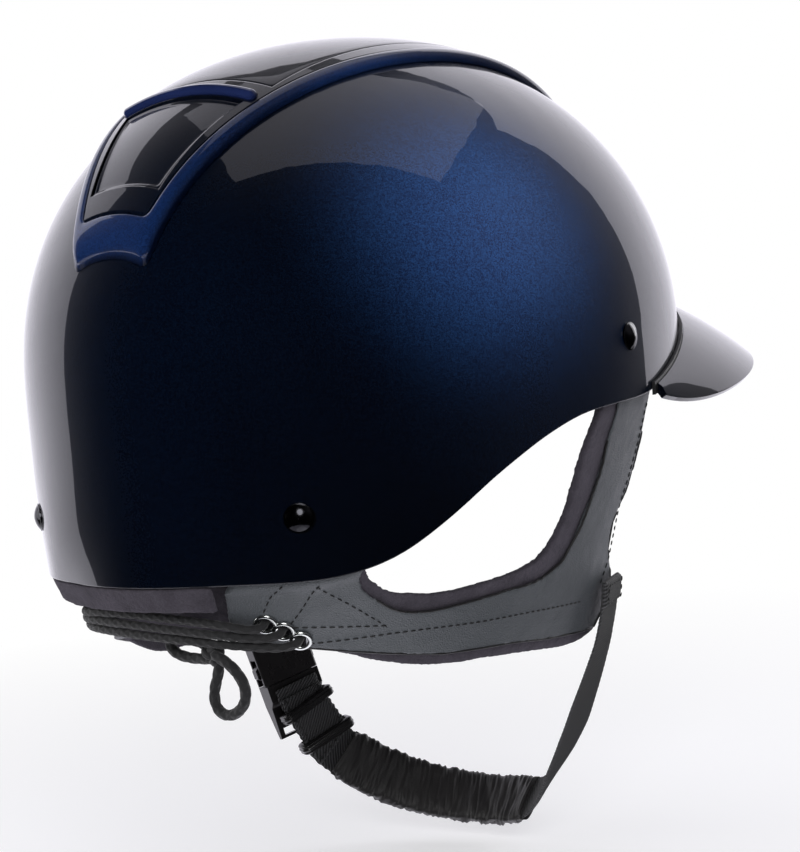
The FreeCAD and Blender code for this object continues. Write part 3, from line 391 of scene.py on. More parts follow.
trim_edge = [(0.0, 0.2), (0.0, 2.3), (0.12, 2.8), (0.45, 3.2), (0.9, 3.4), (1.6, 3.52), (2.6, 3.55),
             (3.3, 3.45), (3.9, 3.2), (4.3, 2.8), (4.5, 2.2), (4.5, 0.2)]
trim = inlay("trim_ring", lens_outline(52.0, 292.0, 128.5, -119.0), trim_edge, violet_blue, False)
place(trim, "helmet", "blue_trim", "crown_trim")
plate_edge = [(0.0, 0.2), (0.0, 2.2), (0.1, 2.6), (0.35, 2.88), (0.8, 3.0)]
plate = inlay("centre_plate", lens_outline(40.0, 455.0, 76.0, -70.0), plate_edge, navy)
place(plate, "helmet", "navy_lacquer", "crown_plate")
cover_edge = [(0.0, 0.2), (0.0, 1.9), (0.12, 2.2), (0.45, 2.3), (0.9, 2.3), (1.15, 2.05), (1.5, 1.95)]
for name, top, bottom in (("rear_vent_cover", 86.0, 118.0), ("front_vent_cover", -80.0, -108.0)):
    cover = inlay(name + "_face", vent_outline(top, bottom), cover_edge, navy)
    place(cover, "helmet", "navy_lacquer", name)
finish(navy, "crown_panel")
lip_gloss, tree, inputs = new_material("lip_gloss", Metallic=0.2, Roughness=0.12, Coat_Weight=1.0,
                                       Coat_Roughness=0.01)
grime = add(tree, "TexNoise", Vector=add(tree, "TexCoord", "Object"), Scale=40.0, Detail=4.0)
colour(tree, inputs, grime, (0.004, 0.007, 0.028), (0.010, 0.016, 0.06))
finish(lip_gloss, "rear_vent_lip", "front_vent_lip")
vent_mesh, tree, inputs = new_material("vent_mesh", Roughness=0.7)
holes = add(tree, "TexVoronoi", Vector=add(tree, "TexCoord", "Object"), Scale=900.0)
colour(tree, inputs, holes, (0.001, 0.001, 0.001), (0.03, 0.03, 0.032))
relief(tree, inputs, holes, 0.8, 0.0005)
finish(vent_mesh, "rear_vent_mesh", "front_vent_mesh")

# ---------------------------------------------------------------- Peak
# A stiff lacquered peak glued to the shell's front edge, with a black rubber strip
# squeezed into the joint behind it.
finish(navy, "peak")


def grained(name, dark, light, roughness, grain, depth, **sockets):
    """A plain moulded or woven surface: two close colours in soft clouds and a fine grain."""
    made, tree, inputs = new_material(name, Roughness=roughness, **sockets)
    place = add(tree, "TexCoord", "Object")
    cloud = add(tree, "TexNoise", Vector=place, Scale=60.0, Detail=5.0, Roughness=0.6)
    colour(tree, inputs, cloud, dark, light)
    fine = add(tree, "TexNoise", Vector=place, Scale=grain, Detail=2.0)
    worn = add(tree, "MapRange", Value=cloud, To_Min=roughness - 0.08, To_Max=roughness + 0.1)
    tree.links.new(worn, inputs["Roughness"])
    relief(tree, inputs, fine, 0.5, depth, Normal=round_edges(tree, 0.0003))
    return made


seal_rubber = grained("seal_rubber", (0.004, 0.004, 0.005), (0.010, 0.010, 0.011), 0.55, 1500.0, 0.0001)
finish(seal_rubber, "peak_gasket")

# ---------------------------------------------------------------- Rivets
# Four black-chrome rivets pass through the shell and a webbing tab behind it, and
# are closed over a steel washer inside.
black_chrome, tree, inputs = new_material("black_chrome", Metallic=1.0, Roughness=0.12)
smear = add(tree, "TexNoise", Vector=add(tree, "TexCoord", "Object"), Scale=700.0, Detail=3.0)
tree.links.new(add(tree, "MapRange", Value=smear, To_Min=0.06, To_Max=0.22), inputs["Roughness"])
colour(tree, inputs, smear, (0.012, 0.012, 0.014), (0.045, 0.045, 0.05))
finish(black_chrome, "rivets_rear", "rivets_front")
steel = grained("washer_steel", (0.35, 0.35, 0.37), (0.55, 0.55, 0.56), 0.35, 900.0, 0.00005, Metallic=1.0)
finish(steel, "rivet_washers")

# ---------------------------------------------------------------- Harness tabs
# Short lengths of black webbing behind the rivets, which carry the harness.
tabs = grained("tab_webbing", (0.006, 0.006, 0.007), (0.03, 0.03, 0.033), 0.75, 1400.0, 0.0003)
finish(tabs, *(f"harness_tab_{end}_{hand}" for end in ("rear", "front") for hand in ("right", "left")))

# ---------------------------------------------------------------- Foam liner
# One block of fine-beaded black foam, moulded to the shell and glued in; the beads
# show as a tight cell pattern on its cut faces.
foam, tree, inputs = new_material("beaded_foam", Roughness=0.85)
bead_place = add(tree, "TexCoord", "Object")
bead = add(tree, "TexVoronoi", settings={"feature": "DISTANCE_TO_EDGE"}, Vector=bead_place, Scale=420.0)
shade = add(tree, "MapRange", Value=bead, From_Max=0.12)
colour(tree, inputs, shade, (0.006, 0.006, 0.007), (0.022, 0.022, 0.024))
relief(tree, inputs, shade, 0.5, 0.0004)
finish(foam, "eps_liner")

# ---------------------------------------------------------------- Soft linings
# Brushed fleece over thin foam: the band round the head, the crown pad, both
# harness linings, the flap over the lacing and the cushion at the neck. Each is
# sewn and turned, so its edges are round and its nap is uneven.
def settle(rough):
    """Turns a piece with its modifiers into a plain mesh."""
    bpy.context.view_layer.update()
    grown = bpy.data.meshes.new_from_object(rough.evaluated_get(bpy.context.evaluated_depsgraph_get()))
    rough.modifiers.clear()
    rough.data = grown
    grown.shade_smooth()
    return rough


def soft_copy(node, name, material, grid, rounds, dents):
    """An evenly meshed, smoothed copy of a plain solid; dents are sizes and depths in millimetres."""
    rough = bpy.data.objects.new(name, frame["nodes"][node].data.copy())
    bpy.context.collection.objects.link(rough)
    rough.data.materials.clear()
    rough.data.materials.append(material)
    welded = bmesh.new()
    welded.from_mesh(rough.data)
    bmesh.ops.remove_doubles(welded, verts=welded.verts, dist=0.01 * mm)
    welded.to_mesh(rough.data)
    welded.free()
    even = rough.modifiers.new("even", "REMESH")
    even.mode = "VOXEL"
    even.voxel_size = grid * mm
    ease = rough.modifiers.new("ease", "SMOOTH")
    ease.factor = 0.5
    ease.iterations = rounds
    for count, (grain, depth) in enumerate(dents):
        cloud = bpy.data.textures.new(f"{name}_{count}", "CLOUDS")
        cloud.noise_scale = grain * mm
        dent = rough.modifiers.new(f"dent_{count}", "DISPLACE")
        dent.texture = cloud
        dent.strength = depth * mm
    return settle(rough)


fleece, tree, inputs = new_material("fleece", Roughness=0.95, Sheen_Weight=0.12, Sheen_Roughness=0.5)
inputs["Specular IOR Level"].default_value = 0.1
inputs["Sheen Tint"].default_value = (0.8, 0.75, 0.9, 1.0)
nap_place = add(tree, "TexCoord", "Object")
nap = add(tree, "TexNoise", Vector=nap_place, Scale=1100.0, Detail=4.0, Roughness=0.7)
tuft = add(tree, "TexNoise", Vector=nap_place, Scale=160.0, Detail=3.0)
mixture = maths(tree, "MULTIPLY_ADD", nap, 0.6, maths(tree, "MULTIPLY", tuft, 0.5))
colour(tree, inputs, mixture, (0.003, 0.003, 0.004), (0.085, 0.076, 0.095))
relief(tree, inputs, mixture, 0.9, 0.0007)
knit, tree, inputs = new_material("wicking_knit", Roughness=0.9, Sheen_Weight=0.2)
knit_place = add(tree, "TexCoord", "Object")
loops = add(tree, "TexVoronoi", Vector=knit_place, Scale=650.0, Randomness=0.25)
colour(tree, inputs, loops, (0.020, 0.018, 0.024), (0.004, 0.004, 0.005))
relief(tree, inputs, loops, 0.8, 0.0006, settings={"invert": True})
linings = [("comfort_band", "head_band", knit, 1.6, 6, ((14.0, 1.0),), 0.7),
           ("crown_pad", "top_pad", knit, 1.2, 6, ((16.0, 1.2),), 0.7),
           ("harness_lining_right", "side_fleece_right", fleece, 0.85, 3, ((9.0, 0.7), (1.6, 0.45)), 0.4),
           ("harness_lining_left", "side_fleece_left", fleece, 0.85, 3, ((9.0, 0.7), (1.6, 0.45)), 0.4),
           ("nape_cover", "nape_flap", fleece, 0.6, 3, ((8.0, 0.5), (1.5, 0.4)), 0.5),
           ("nape_cushion", "neck_cushion", fleece, 1.0, 8, ((10.0, 0.9), (1.6, 0.3)), 0.8)]
for node, name, cloth, grid, rounds, dents, fill in linings:
    lining = soft_copy(node, name, cloth, grid, rounds, dents)
    place(lining, "helmet", "lining_fleece", node)
hook_tape = grained("hook_tape", (0.004, 0.004, 0.004), (0.015, 0.015, 0.016), 0.8, 2200.0, 0.0004)
finish(hook_tape, "hook_dots")

# ---------------------------------------------------------------- Leather harness
# Two pieces of grey leather, one each side, cut to shape and sewn to the fleece, with a
# thin near-black line laid along the edge; the seams are black thread with about three
# stitches a centimetre. Nickel eyelets take the lace at the back.
leather, tree, inputs = new_material("grey_leather", Roughness=0.5)
hide = add(tree, "TexCoord", "Object")
pores = add(tree, "TexVoronoi", settings={"feature": "DISTANCE_TO_EDGE"}, Vector=hide, Scale=1100.0)
crease = add(tree, "TexNoise", Vector=hide, Scale=120.0, Detail=8.0, Roughness=0.65, Distortion=0.6)
tone = add(tree, "TexNoise", Vector=hide, Scale=14.0, Detail=3.0)
colour(tree, inputs, tone, (0.040, 0.045, 0.052), (0.078, 0.086, 0.096))
skin = maths(tree, "MULTIPLY_ADD", pores, 0.7, crease)
tree.links.new(add(tree, "MapRange", Value=crease, To_Min=0.38, To_Max=0.62), inputs["Roughness"])
relief(tree, inputs, skin, 0.75, 0.0005)
thread = grained("black_thread", (0.003, 0.003, 0.003), (0.010, 0.010, 0.010), 0.6, 3000.0, 0.0001)
# A thin near-black round line laid along the leather's edges, where a dark line shows between leather and
# fleece.
dark_edge_line = grained("dark_edge_line", (0.004, 0.004, 0.004), (0.010, 0.009, 0.011), 0.5, 1200.0, 0.0001)
hides = {}
for hand in ("right", "left"):
    hides[hand] = soft_copy(f"harness_leather_{hand}", f"leather_{hand}", leather, 0.66, 3,
                            ((22.0, 0.9), (7.0, 0.25)))
    place(hides[hand], "helmet", "grey_leather", f"harness_leather_{hand}")


def seam_tree():
    """A node tree that lays rounded stitches along edges at an even pitch."""
    made = bpy.data.node_groups.new("stitches", "GeometryNodeTree")
    made.interface.new_socket("Line", in_out="INPUT", socket_type="NodeSocketGeometry")
    for name, size in (("Pitch", 2.9), ("Length", 2.0), ("Thickness", 0.55)):
        made.interface.new_socket(name, in_out="INPUT", socket_type="NodeSocketFloat").default_value = size
    made.interface.new_socket("Thread", in_out="INPUT", socket_type="NodeSocketMaterial")
    made.interface.new_socket("Stitches", in_out="OUTPUT", socket_type="NodeSocketGeometry")
    new, link = made.nodes.new, made.links.new
    given, result = new("NodeGroupInput"), new("NodeGroupOutput")
    curve, steps = new("GeometryNodeMeshToCurve"), new("GeometryNodeResampleCurve")
    steps.mode = "LENGTH"
    ball, lay = new("GeometryNodeMeshIcoSphere"), new("GeometryNodeInstanceOnPoints")
    ball.inputs["Radius"].default_value = 0.5
    ball.inputs["Subdivisions"].default_value = 2
    tangent, turn = new("GeometryNodeInputTangent"), new("FunctionNodeAlignRotationToVector")
    turn.axis = "X"
    shape, real = new("ShaderNodeCombineXYZ"), new("GeometryNodeRealizeInstances")
    paint = new("GeometryNodeSetMaterial")
    link(given.outputs["Line"], curve.inputs["Mesh"])
    link(curve.outputs["Curve"], steps.inputs["Curve"])
    link(given.outputs["Pitch"], steps.inputs["Length"])
    link(steps.outputs["Curve"], lay.inputs["Points"])
    link(ball.outputs["Mesh"], lay.inputs["Instance"])
    link(tangent.outputs["Tangent"], turn.inputs["Vector"])
    link(turn.outputs["Rotation"], lay.inputs["Rotation"])
    link(given.outputs["Length"], shape.inputs["X"])
    link(given.outputs["Thickness"], shape.inputs["Y"])
    link(given.outputs["Thickness"], shape.inputs["Z"])
    link(shape.outputs["Vector"], lay.inputs["Scale"])
    link(lay.outputs["Instances"], real.inputs["Geometry"])
    link(real.outputs["Geometry"], paint.inputs["Geometry"])
    link(given.outputs["Thread"], paint.inputs["Material"])
    link(paint.outputs["Geometry"], result.inputs["Stitches"])
    return made


stitching = seam_tree()


def sew(name, lines, pitch=2.9, length=2.0, thickness=0.55, material=thread):
    """Stitches along lists of points in metres, as one plain mesh."""
    points = [p for line in lines for p in line]
    edges, start = [], 0
    for line in lines:
        edges += [(start + k, start + k + 1) for k in range(len(line) - 1)]
        start += len(line)
    mesh = bpy.data.meshes.new(name)
    mesh.from_pydata([tuple(p) for p in points], edges, [])
    seam = bpy.data.objects.new(name, mesh)
    bpy.context.collection.objects.link(seam)
    laid = seam.modifiers.new("stitches", "NODES")
    laid.node_group = stitching
    named = {item.name: item.identifier for item in stitching.interface.items_tree if item.in_out == "INPUT"}
    laid[named["Pitch"]] = pitch * mm
    laid[named["Length"]] = length * mm
    laid[named["Thickness"]] = thickness * mm
    laid[named["Thread"]] = material
    return settle(seam)


def on_side(surface, line, side, lift, step=0.8):
    """Drops a side-view line of (y, z) millimetres onto a piece, from outside."""
    found = []
    corners = np.array(line, float)
    run = np.concatenate([[0], np.cumsum(np.linalg.norm(np.diff(corners, axis=0), axis=1))])
    for at in np.arange(0.0, run[-1] + 0.01, step):
        y, z = (np.interp(at, run, corners[:, k]) for k in (0, 1))
        hit, normal, _, _ = surface.ray_cast(Vector((side * 0.2, y * mm, z * mm)), Vector((-side, 0, 0)))
        if hit:
            found.append(hit + normal * lift * mm)
    return found


def smooth_line(points, count=60):
    """A smooth line through given points."""
    points = [np.array(p, float) for p in points]
    ends = [points[0] * 2 - points[1]] + points + [points[-1] * 2 - points[-2]]
    line = []
    for k in range(1, len(ends) - 2):
        p0, p1, p2, p3 = ends[k - 1:k + 3]
        for t in np.arange(0.0, 1.0, (len(points) - 1) / count):
            line.append(0.5 * (2 * p1 + (p2 - p0) * t + (2 * p0 - 5 * p1 + 4 * p2 - p3) * t * t
                               + (3 * p1 - p0 - 3 * p2 + p3) * t ** 3))
    return line + [points[-1]]


seam_lines = [[(96, -89.9), (72, -89.7), (41, -90.9), (18, -91.4), (-14, -92.8)],
              [(104.8, -69.5), (103.9, -83.3)], [(103.9, -83.3), (78, -86.4)], [(78, -86.4), (104.8, -69.5)],
              [(113, -68.6), (112.2, -73.3), (111.5, -77.2)],
              [(-29.8, -87.6), (-33.6, -76.0), (-32.0, -60.0), (-37.0, -40.0), (-37.2, -24.0)]]
edge_lines = [[(-40.3, -34), (-38.5, -48.6), (-33.8, -58), (-28.8, -66), (-30.8, -76), (-38.6, -85),
               (-42.4, -95), (-34, -105.8)],
              [(-33.5, -105.9), (-17.6, -104.8), (3, -103.4), (24, -101.4), (54, -100.1), (68.5, -97.6),
               (82, -94.8), (98.4, -90.8), (109, -87.6)],
              [(93.0, -69.6), (84.4, -76.9), (75.5, -81.7), (65, -83.7), (52, -83.2), (34.5, -81.8),
               (16.4, -80.2), (5.5, -75.7), (-0.6, -67.2), (-3.8, -59), (-7.5, -45), (-8.8, -30)]]


def piping(name, lines, thickness, material):
    """A thin round line laid along lists of points in metres, as one plain mesh."""
    drawn = bpy.data.curves.new(name, "CURVE")
    drawn.dimensions = "3D"
    drawn.bevel_depth = thickness / 2 * mm
    drawn.bevel_resolution = 2
    drawn.use_fill_caps = True
    for line in lines:
        spline = drawn.splines.new("POLY")
        spline.points.add(len(line) - 1)
        for point, at in zip(spline.points, line):
            point.co = (*at, 1.0)
    drawn.materials.append(material)
    holder = bpy.data.objects.new(name + "_line", drawn)
    bpy.context.collection.objects.link(holder)
    bpy.context.view_layer.update()
    mesh = bpy.data.meshes.new_from_object(holder.evaluated_get(bpy.context.evaluated_depsgraph_get()))
    bpy.data.objects.remove(holder)
    mesh.shade_smooth()
    piece = bpy.data.objects.new(name, mesh)
    bpy.context.collection.objects.link(piece)
    return piece


for hand, side in (("right", -1), ("left", 1)):
    surface = BVHTree.FromObject(hides[hand], bpy.context.evaluated_depsgraph_get())
    sewn = [on_side(surface, smooth_line(line), side, 0.12) for line in seam_lines]
    place(sew(f"seams_{hand}", sewn), "helmet", "grey_leather")
    edges = [on_side(surface, smooth_line(line), side, 0.0) for line in edge_lines]
    place(piping(f"leather_edge_{hand}", edges, 0.9, dark_edge_line), "helmet", "grey_leather")
nickel, tree, inputs = new_material("nickel", Metallic=1.0, Roughness=0.18)
haze_spots = add(tree, "TexNoise", Vector=add(tree, "TexCoord", "Object"), Scale=500.0, Detail=3.0)
tree.links.new(add(tree, "MapRange", Value=haze_spots, To_Min=0.10, To_Max=0.30), inputs["Roughness"])
colour(tree, inputs, haze_spots, (0.45, 0.47, 0.46), (0.68, 0.70, 0.69))
finish(nickel, "eyelets_right", "eyelets_left")

# ---------------------------------------------------------------- Lace
# One braided black cord: three runs across the nape from eyelet to eyelet, then a
# bow of two loops on a tight knot. It is limp and hangs under its own weight.
lace_black, tree, inputs = new_material("lace_black", Roughness=0.75, Sheen_Weight=0.15)
fibres = add(tree, "TexNoise", Vector=add(tree, "TexCoord", "Object"), Scale=2200.0, Detail=3.0)
colour(tree, inputs, fibres, (0.003, 0.003, 0.004), (0.016, 0.016, 0.018))
relief(tree, inputs, fibres, 0.6, 0.0002)


def cord_line(points, fineness=24):
    """The smooth line, in metres, that a cord follows past its route points."""
    drawn = bpy.data.curves.new("route", "CURVE")
    drawn.dimensions = "3D"
    drawn.resolution_u = fineness
    spline = drawn.splines.new("NURBS")
    spline.points.add(len(points) - 1)
    for point, at in zip(spline.points, points):
        point.co = (at[0] * mm, at[1] * mm, at[2] * mm, 1.0)
    spline.order_u = 3
    spline.use_endpoint_u = True
    holder = bpy.data.objects.new("route", drawn)
    bpy.context.collection.objects.link(holder)
    bpy.context.view_layer.update()
    mesh = bpy.data.meshes.new_from_object(holder.evaluated_get(bpy.context.evaluated_depsgraph_get()))
    bpy.data.objects.remove(holder)
    return [v.co.copy() for v in mesh.vertices]


def even_steps(line, step):
    """The same line with its points at even steps of so many millimetres."""
    line = np.array(line)
    run = np.concatenate([[0], np.cumsum(np.linalg.norm(np.diff(line, axis=0), axis=1))])
    at = np.linspace(0.0, run[-1], max(int(run[-1] / (step * mm)), 4) + 1)
    return np.column_stack([np.interp(at, run, line[:, k]) for k in range(3)])


def braided(name, line, diameter, closed=False):
    """A braided tube along a line in metres, with crossing strands raised on it."""
    step = 0.28
    line = even_steps(line, step)
    if closed:
        line = line[:-1]
    ways = np.roll(line, -1, axis=0) - np.roll(line, 1, axis=0)
    if not closed:
        ways[0], ways[-1] = line[1] - line[0], line[-1] - line[-2]
    around, plait, plait_length = 36, 8, 4.6
    side, strand_rise = Vector(ways[0]).orthogonal().normalized(), 0.16
    points, turn = [], np.arange(around) * math.tau / around
    for k, (at, way) in enumerate(zip(line, ways)):
        way = Vector(way).normalized()
        side = (side - way * side.dot(way)).normalized()
        up = way.cross(side)
        lay = k * step * math.tau / plait_length
        raised = np.maximum(np.sin(plait / 2 * turn + lay), np.sin(plait / 2 * turn - lay))
        sizes = (diameter / 2 - strand_rise * (1.0 - raised)) * mm
        points += [at + (np.array(side) * math.cos(a) + np.array(up) * math.sin(a)) * r
                   for a, r in zip(turn, sizes)]
    rows = len(line)
    faces = net(rows, around, loop_rows=closed)
    if not closed:
        points += [line[0], line[-1]]
        for k in range(around):
            j = (k + 1) % around
            faces.append((len(points) - 2, j, k))
            faces.append((len(points) - 1, (rows - 1) * around + k, (rows - 1) * around + j))
    return turned_out(new_piece(name, points, faces, lace_black))


def ring_places(node):
    """Middle and outward axis of each separate ring in a node, in millimetres, top one first."""
    loose = bmesh.new()
    loose.from_mesh(frame["nodes"][node].data)
    bmesh.ops.remove_doubles(loose, verts=loose.verts, dist=0.01 * mm)
    left, places = set(loose.verts), []
    while left:
        grown, island = [left.pop()], []
        while grown:
            vert = grown.pop()
            island.append(vert.co.copy())
            near = {edge.other_vert(vert) for edge in vert.link_edges} & left
            left -= near
            grown += near
        spots = np.array(island)
        middle = spots.mean(axis=0)
        rounds = np.linalg.svd(spots - middle, full_matrices=False)[2]
        ring = spots[np.linalg.norm(spots - middle, axis=1) > 0.003]
        axis = rounds[2] if np.ptp((ring - middle) @ rounds[2]) < 0.0035 else rounds[0]
        axis = axis * np.sign(axis @ (middle * (1.0, 1.0, 0.0)))
        places.append((middle / mm, axis))
    loose.free()
    return sorted(places, key=lambda place: -place[0][2])


lace_diameter = 3.0
strand_middles = [((-26, 120.4, -79.8), (26, 121.2, -76.8)), ((-27, 119.8, -84.0), (27, 120.6, -80.3)),
                  ((-28, 118.8, -87.3), (28, 119.6, -83.9))]
pairs = zip(ring_places("eyelets_right"), ring_places("eyelets_left"), strand_middles)
for count, ((p, n), (q, m), (a, b)) in enumerate(pairs):
    route = [p - n * 2.6, p + n * 4.2, a, b, q + m * 4.2, q - m * 2.6]
    strand = braided(f"lace_run_{count}", cord_line(route), lace_diameter)
    place(strand, "helmet", "lace_black", *(["lace_strands"] if count == 0 else []))
knot_middle = np.array((-19.3, 115.0, -90.7))
twist = [knot_middle + np.array((math.sin(t) + 2 * math.sin(2 * t), 0.8 * math.sin(3 * t),
                                 math.cos(t) - 2 * math.cos(2 * t))) * 1.02
         for t in np.linspace(0.0, math.tau, 181)]
knot = braided("lace_knot_tied", np.array(twist) * mm, 3.1, closed=True)
place(knot, "helmet", "lace_black", "lace_knot")
loop_routes = {
    "lace_loop_side": (41.9, [(-18.0, 114.8, -88.8), (-12.4, 114.2, -87.2), (-6.5, 114.0, -86.2),
                              (-1.4, 114.0, -86.2), (1.6, 113.9, -88.2), (0.0, 113.6, -91.4),
                              (-4.8, 113.2, -93.0), (-10.8, 113.0, -93.4), (-18.3, 113.8, -93.0)]),
    "lace_loop_hanging": (58.0, [(-20.9, 116.2, -91.0), (-26.0, 116.6, -92.9), (-30.5, 116.5, -96.2),
                                 (-33.2, 115.8, -101.0), (-32.2, 115.0, -106.4), (-27.8, 114.5, -110.6),
                                 (-22.0, 114.1, -112.2), (-17.2, 113.6, -109.6), (-16.4, 113.2, -104.4),
                                 (-18.6, 112.9, -98.9), (-20.4, 113.2, -93.6), (-20.6, 113.9, -91.0)]),
}
loop_diameter = 3.8
for node, (length, route) in loop_routes.items():
    line = cord_line(route)
    loop = braided(node + "_cord", line, loop_diameter)
    place(loop, "helmet", "lace_black", node)

# ---------------------------------------------------------------- Chin webbing
# Flat woven polyester webbing with diagonal ribs, sewn to the leather at each side
# with its end folded over, and threaded through the buckle. Weave and edges are
# real relief on the strap.
webbing, tree, inputs = new_material("webbing", Roughness=0.7, Sheen_Weight=0.1)
weave = add(tree, "SeparateXYZ", "X", Vector=add(tree, "TexCoord", "UV"))
along_web = add(tree, "SeparateXYZ", "Y", Vector=add(tree, "TexCoord", "UV"))
rib_pitch = 1.35
rib_slant = 0.75
rib_depth = 0.24
wave_length = 2.7
fold_length = 9.5
fold_rise = 1.3
slanted = maths(tree, "MULTIPLY_ADD", weave, rib_slant, along_web)
rib = maths(tree, "SINE", maths(tree, "MULTIPLY", slanted, math.tau / rib_pitch))
yarn = maths(tree, "SINE", maths(tree, "MULTIPLY", weave, math.tau / 0.45))
strand = add(tree, "TexNoise", Vector=add(tree, "TexCoord", "Object"), Scale=1500.0, Detail=3.0)
# Painted highlight and shade: the rib and yarn crests are painted lighter and the grooves darker, following
# the relief; the strand noise adds a random tone of its own.
raised = maths(tree, "MULTIPLY_ADD", yarn, 0.14, maths(tree, "MULTIPLY_ADD", rib, 0.48,
               maths(tree, "MULTIPLY_ADD", strand, 0.5, 0.2)))
colour(tree, inputs, raised, (0.003, 0.003, 0.004), (0.060, 0.060, 0.066))
relief(tree, inputs, raised, 0.9, 0.0004)
lip = np.array((78.5, -32.0, -130.5))
buckle_up = np.array((0.20, 0.17, 0.965)) / np.linalg.norm((0.20, 0.17, 0.965))
buckle_in = np.array((-0.93, 0.37, 0.0))
buckle_in = buckle_in - buckle_up * (buckle_in @ buckle_up)
buckle_in = buckle_in / np.linalg.norm(buckle_in)
buckle_side = np.cross(buckle_in, buckle_up)


def at_buckle(side, up, inward):
    return lip + buckle_side * side + buckle_up * up + buckle_in * inward


web_width, web_thickness = 20.0, 1.6
half_web = web_thickness / 2
web_right = [(-29.0, -57.5, -173.5), (-40.5, -51.5, -161.5), (-51.5, -46.0, -148.0), (-61.0, -41.0, -134.0),
             (-69.0, -37.5, -121.0), (-75.4, -35.0, -109.0), (-79.2, -34.0, -98.0), (-81.0, -34.0, -87.0)]
web_chin = [(55.0, -47.0, -168.5), (43.0, -53.0, -175.5), (28.0, -59.5, -180.8), (12.0, -63.5, -183.0),
            (-3.0, -65.0, -183.2), (-17.0, -62.8, -181.0)]
web_left = [at_buckle(*p) for p in ((0.0, -2.5, 5.2), (-0.1, -8.0, 5.2), (-1.0, -13.5, 5.3),
                                    (-2.3, -19.0, 5.4), (-4.1, -26.0, 5.6), (-6.0, -33.0, 5.8))]
web_line = [np.array(p, float) for p in web_right[::-1] + web_chin[::-1] + web_left[::-1]]
web_sides = [(-0.29, 0.956, 0)] * 3 + [
    (-0.2, 0.97, -0.05), (-0.1, 0.98, -0.1), (0, 0.96, -0.2), (0.03, 0.92, -0.35), (0, 0.82, -0.55),
    (0, 0.75, -0.66), (0, 0.72, -0.69), (0.1, 0.72, -0.69), (0.2, 0.72, -0.66), (0.3, 0.73, -0.6),
    (0.38, 0.74, -0.55), (0.41, 0.79, -0.45), (0.40, 0.83, -0.38), (0.37, 0.87, -0.3)] + [buckle_side] * 3
web_sides = [np.array(s, float) for s in web_sides]


def web_station(at):
    """Centre, side and inward directions at a place along the chin webbing."""
    i = min(int(at), len(web_line) - 2)
    t = at - i
    p0, p1, p2, p3 = (web_line[min(max(k, 0), len(web_line) - 1)] for k in (i - 1, i, i + 1, i + 2))
    centre = 0.5 * (2 * p1 + (p2 - p0) * t + (2 * p0 - 5 * p1 + 4 * p2 - p3) * t ** 2
                    + (3 * p1 - p0 - 3 * p2 + p3) * t ** 3)
    way = (p2 - p0) + (2 * p0 - 5 * p1 + 4 * p2 - p3) * 2 * t + (3 * p1 - p0 - 3 * p2 + p3) * 3 * t ** 2
    side = web_sides[i] * (1 - t) + web_sides[i + 1] * t
    inward = np.cross(way, side)
    inward = inward / np.linalg.norm(inward)
    side = np.cross(inward, way)
    return centre, side / np.linalg.norm(side), inward


def spaced(stations, step):
    """Stations at even steps, from finer or coarser ones."""
    table = np.array([np.concatenate(s) for s in stations])
    run = np.concatenate([[0], np.cumsum(np.linalg.norm(np.diff(table[:, :3], axis=0), axis=1))])
    at = np.linspace(0.0, run[-1], max(int(run[-1] / step), 3) + 1)
    even = np.column_stack([np.interp(at, run, table[:, k]) for k in range(9)])
    return at, [(row[:3], row[3:6], row[6:]) for row in even]


def stations_between(first, last):
    return [web_station(first + (last - first) * k / 400.0) for k in range(401)]


def woven(name, stations, width, low, high, fold=0.0, wave=0.34):
    """Webbing through stations, low and high along their inward direction; fold doubles its start."""
    at, rows = spaced(stations, 0.42)
    across = np.concatenate([[-1.0, -0.985, -0.955], np.linspace(-0.91, 0.91, 43), [0.955, 0.985, 1.0]])
    middle, half = (low + high) / 2, (high - low) / 2
    wide, long, points, uv = len(across), len(rows), [], []
    for run, (centre, side, inward) in zip(at, rows):
        edge = width / 2 + wave * (math.sin(run * math.tau / wave_length) - 1.0) * 0.5
        ends = min((run + 0.12) / 0.5, (at[-1] - run + 0.12) / 0.5, 1.0) ** 0.5
        for face in (-1, 1):
            doubled = face < 0 and run < fold
            extra = fold_rise * min((fold - run) / 0.8, 1.0, (run + 0.3) / 0.9) if doubled else 0.0
            for q in across * -face:
                ribbed = 0.5 + 0.5 * math.cos((q * width / 2 * rib_slant * face + run) * math.tau / rib_pitch)
                full = (1.0 - abs(q) ** 14) ** 0.5 if abs(q) < 1 else 0.12
                rise = (half * full - rib_depth * (1.0 - ribbed) * full) * ends + extra * full
                points.append((centre + side * q * edge + inward * (middle + face * rise)) * mm)
                uv.append((q * width / 2 * face, run))
    faces = net(long, 2 * wide)
    for start in (0, (long - 1) * 2 * wide):
        faces += [(start + k, start + k + 1, start + 2 * wide - 2 - k, start + 2 * wide - 1 - k)
                  for k in range(wide - 1)]
    return turned_out(new_piece(name, points, faces, webbing, uv=uv))


def on_web(stations, lines, height):
    """Lines of (side, distance) on a strap, as points in metres, at a height along inward."""
    at, rows = spaced(stations, 0.1)
    found = []
    for line in lines:
        corners = np.array(line, float)
        run = np.concatenate([[0], np.cumsum(np.linalg.norm(np.diff(corners, axis=0), axis=1))])
        spots = []
        for step in np.arange(0.0, run[-1] + 0.01, 0.2):
            side, along = (np.interp(step, run, corners[:, k]) for k in (0, 1))
            centre, across_way, inward = rows[min(int(along / 0.1), len(rows) - 1)]
            spots.append((centre + across_way * side + inward * height) * mm)
        found.append(spots)
    return found


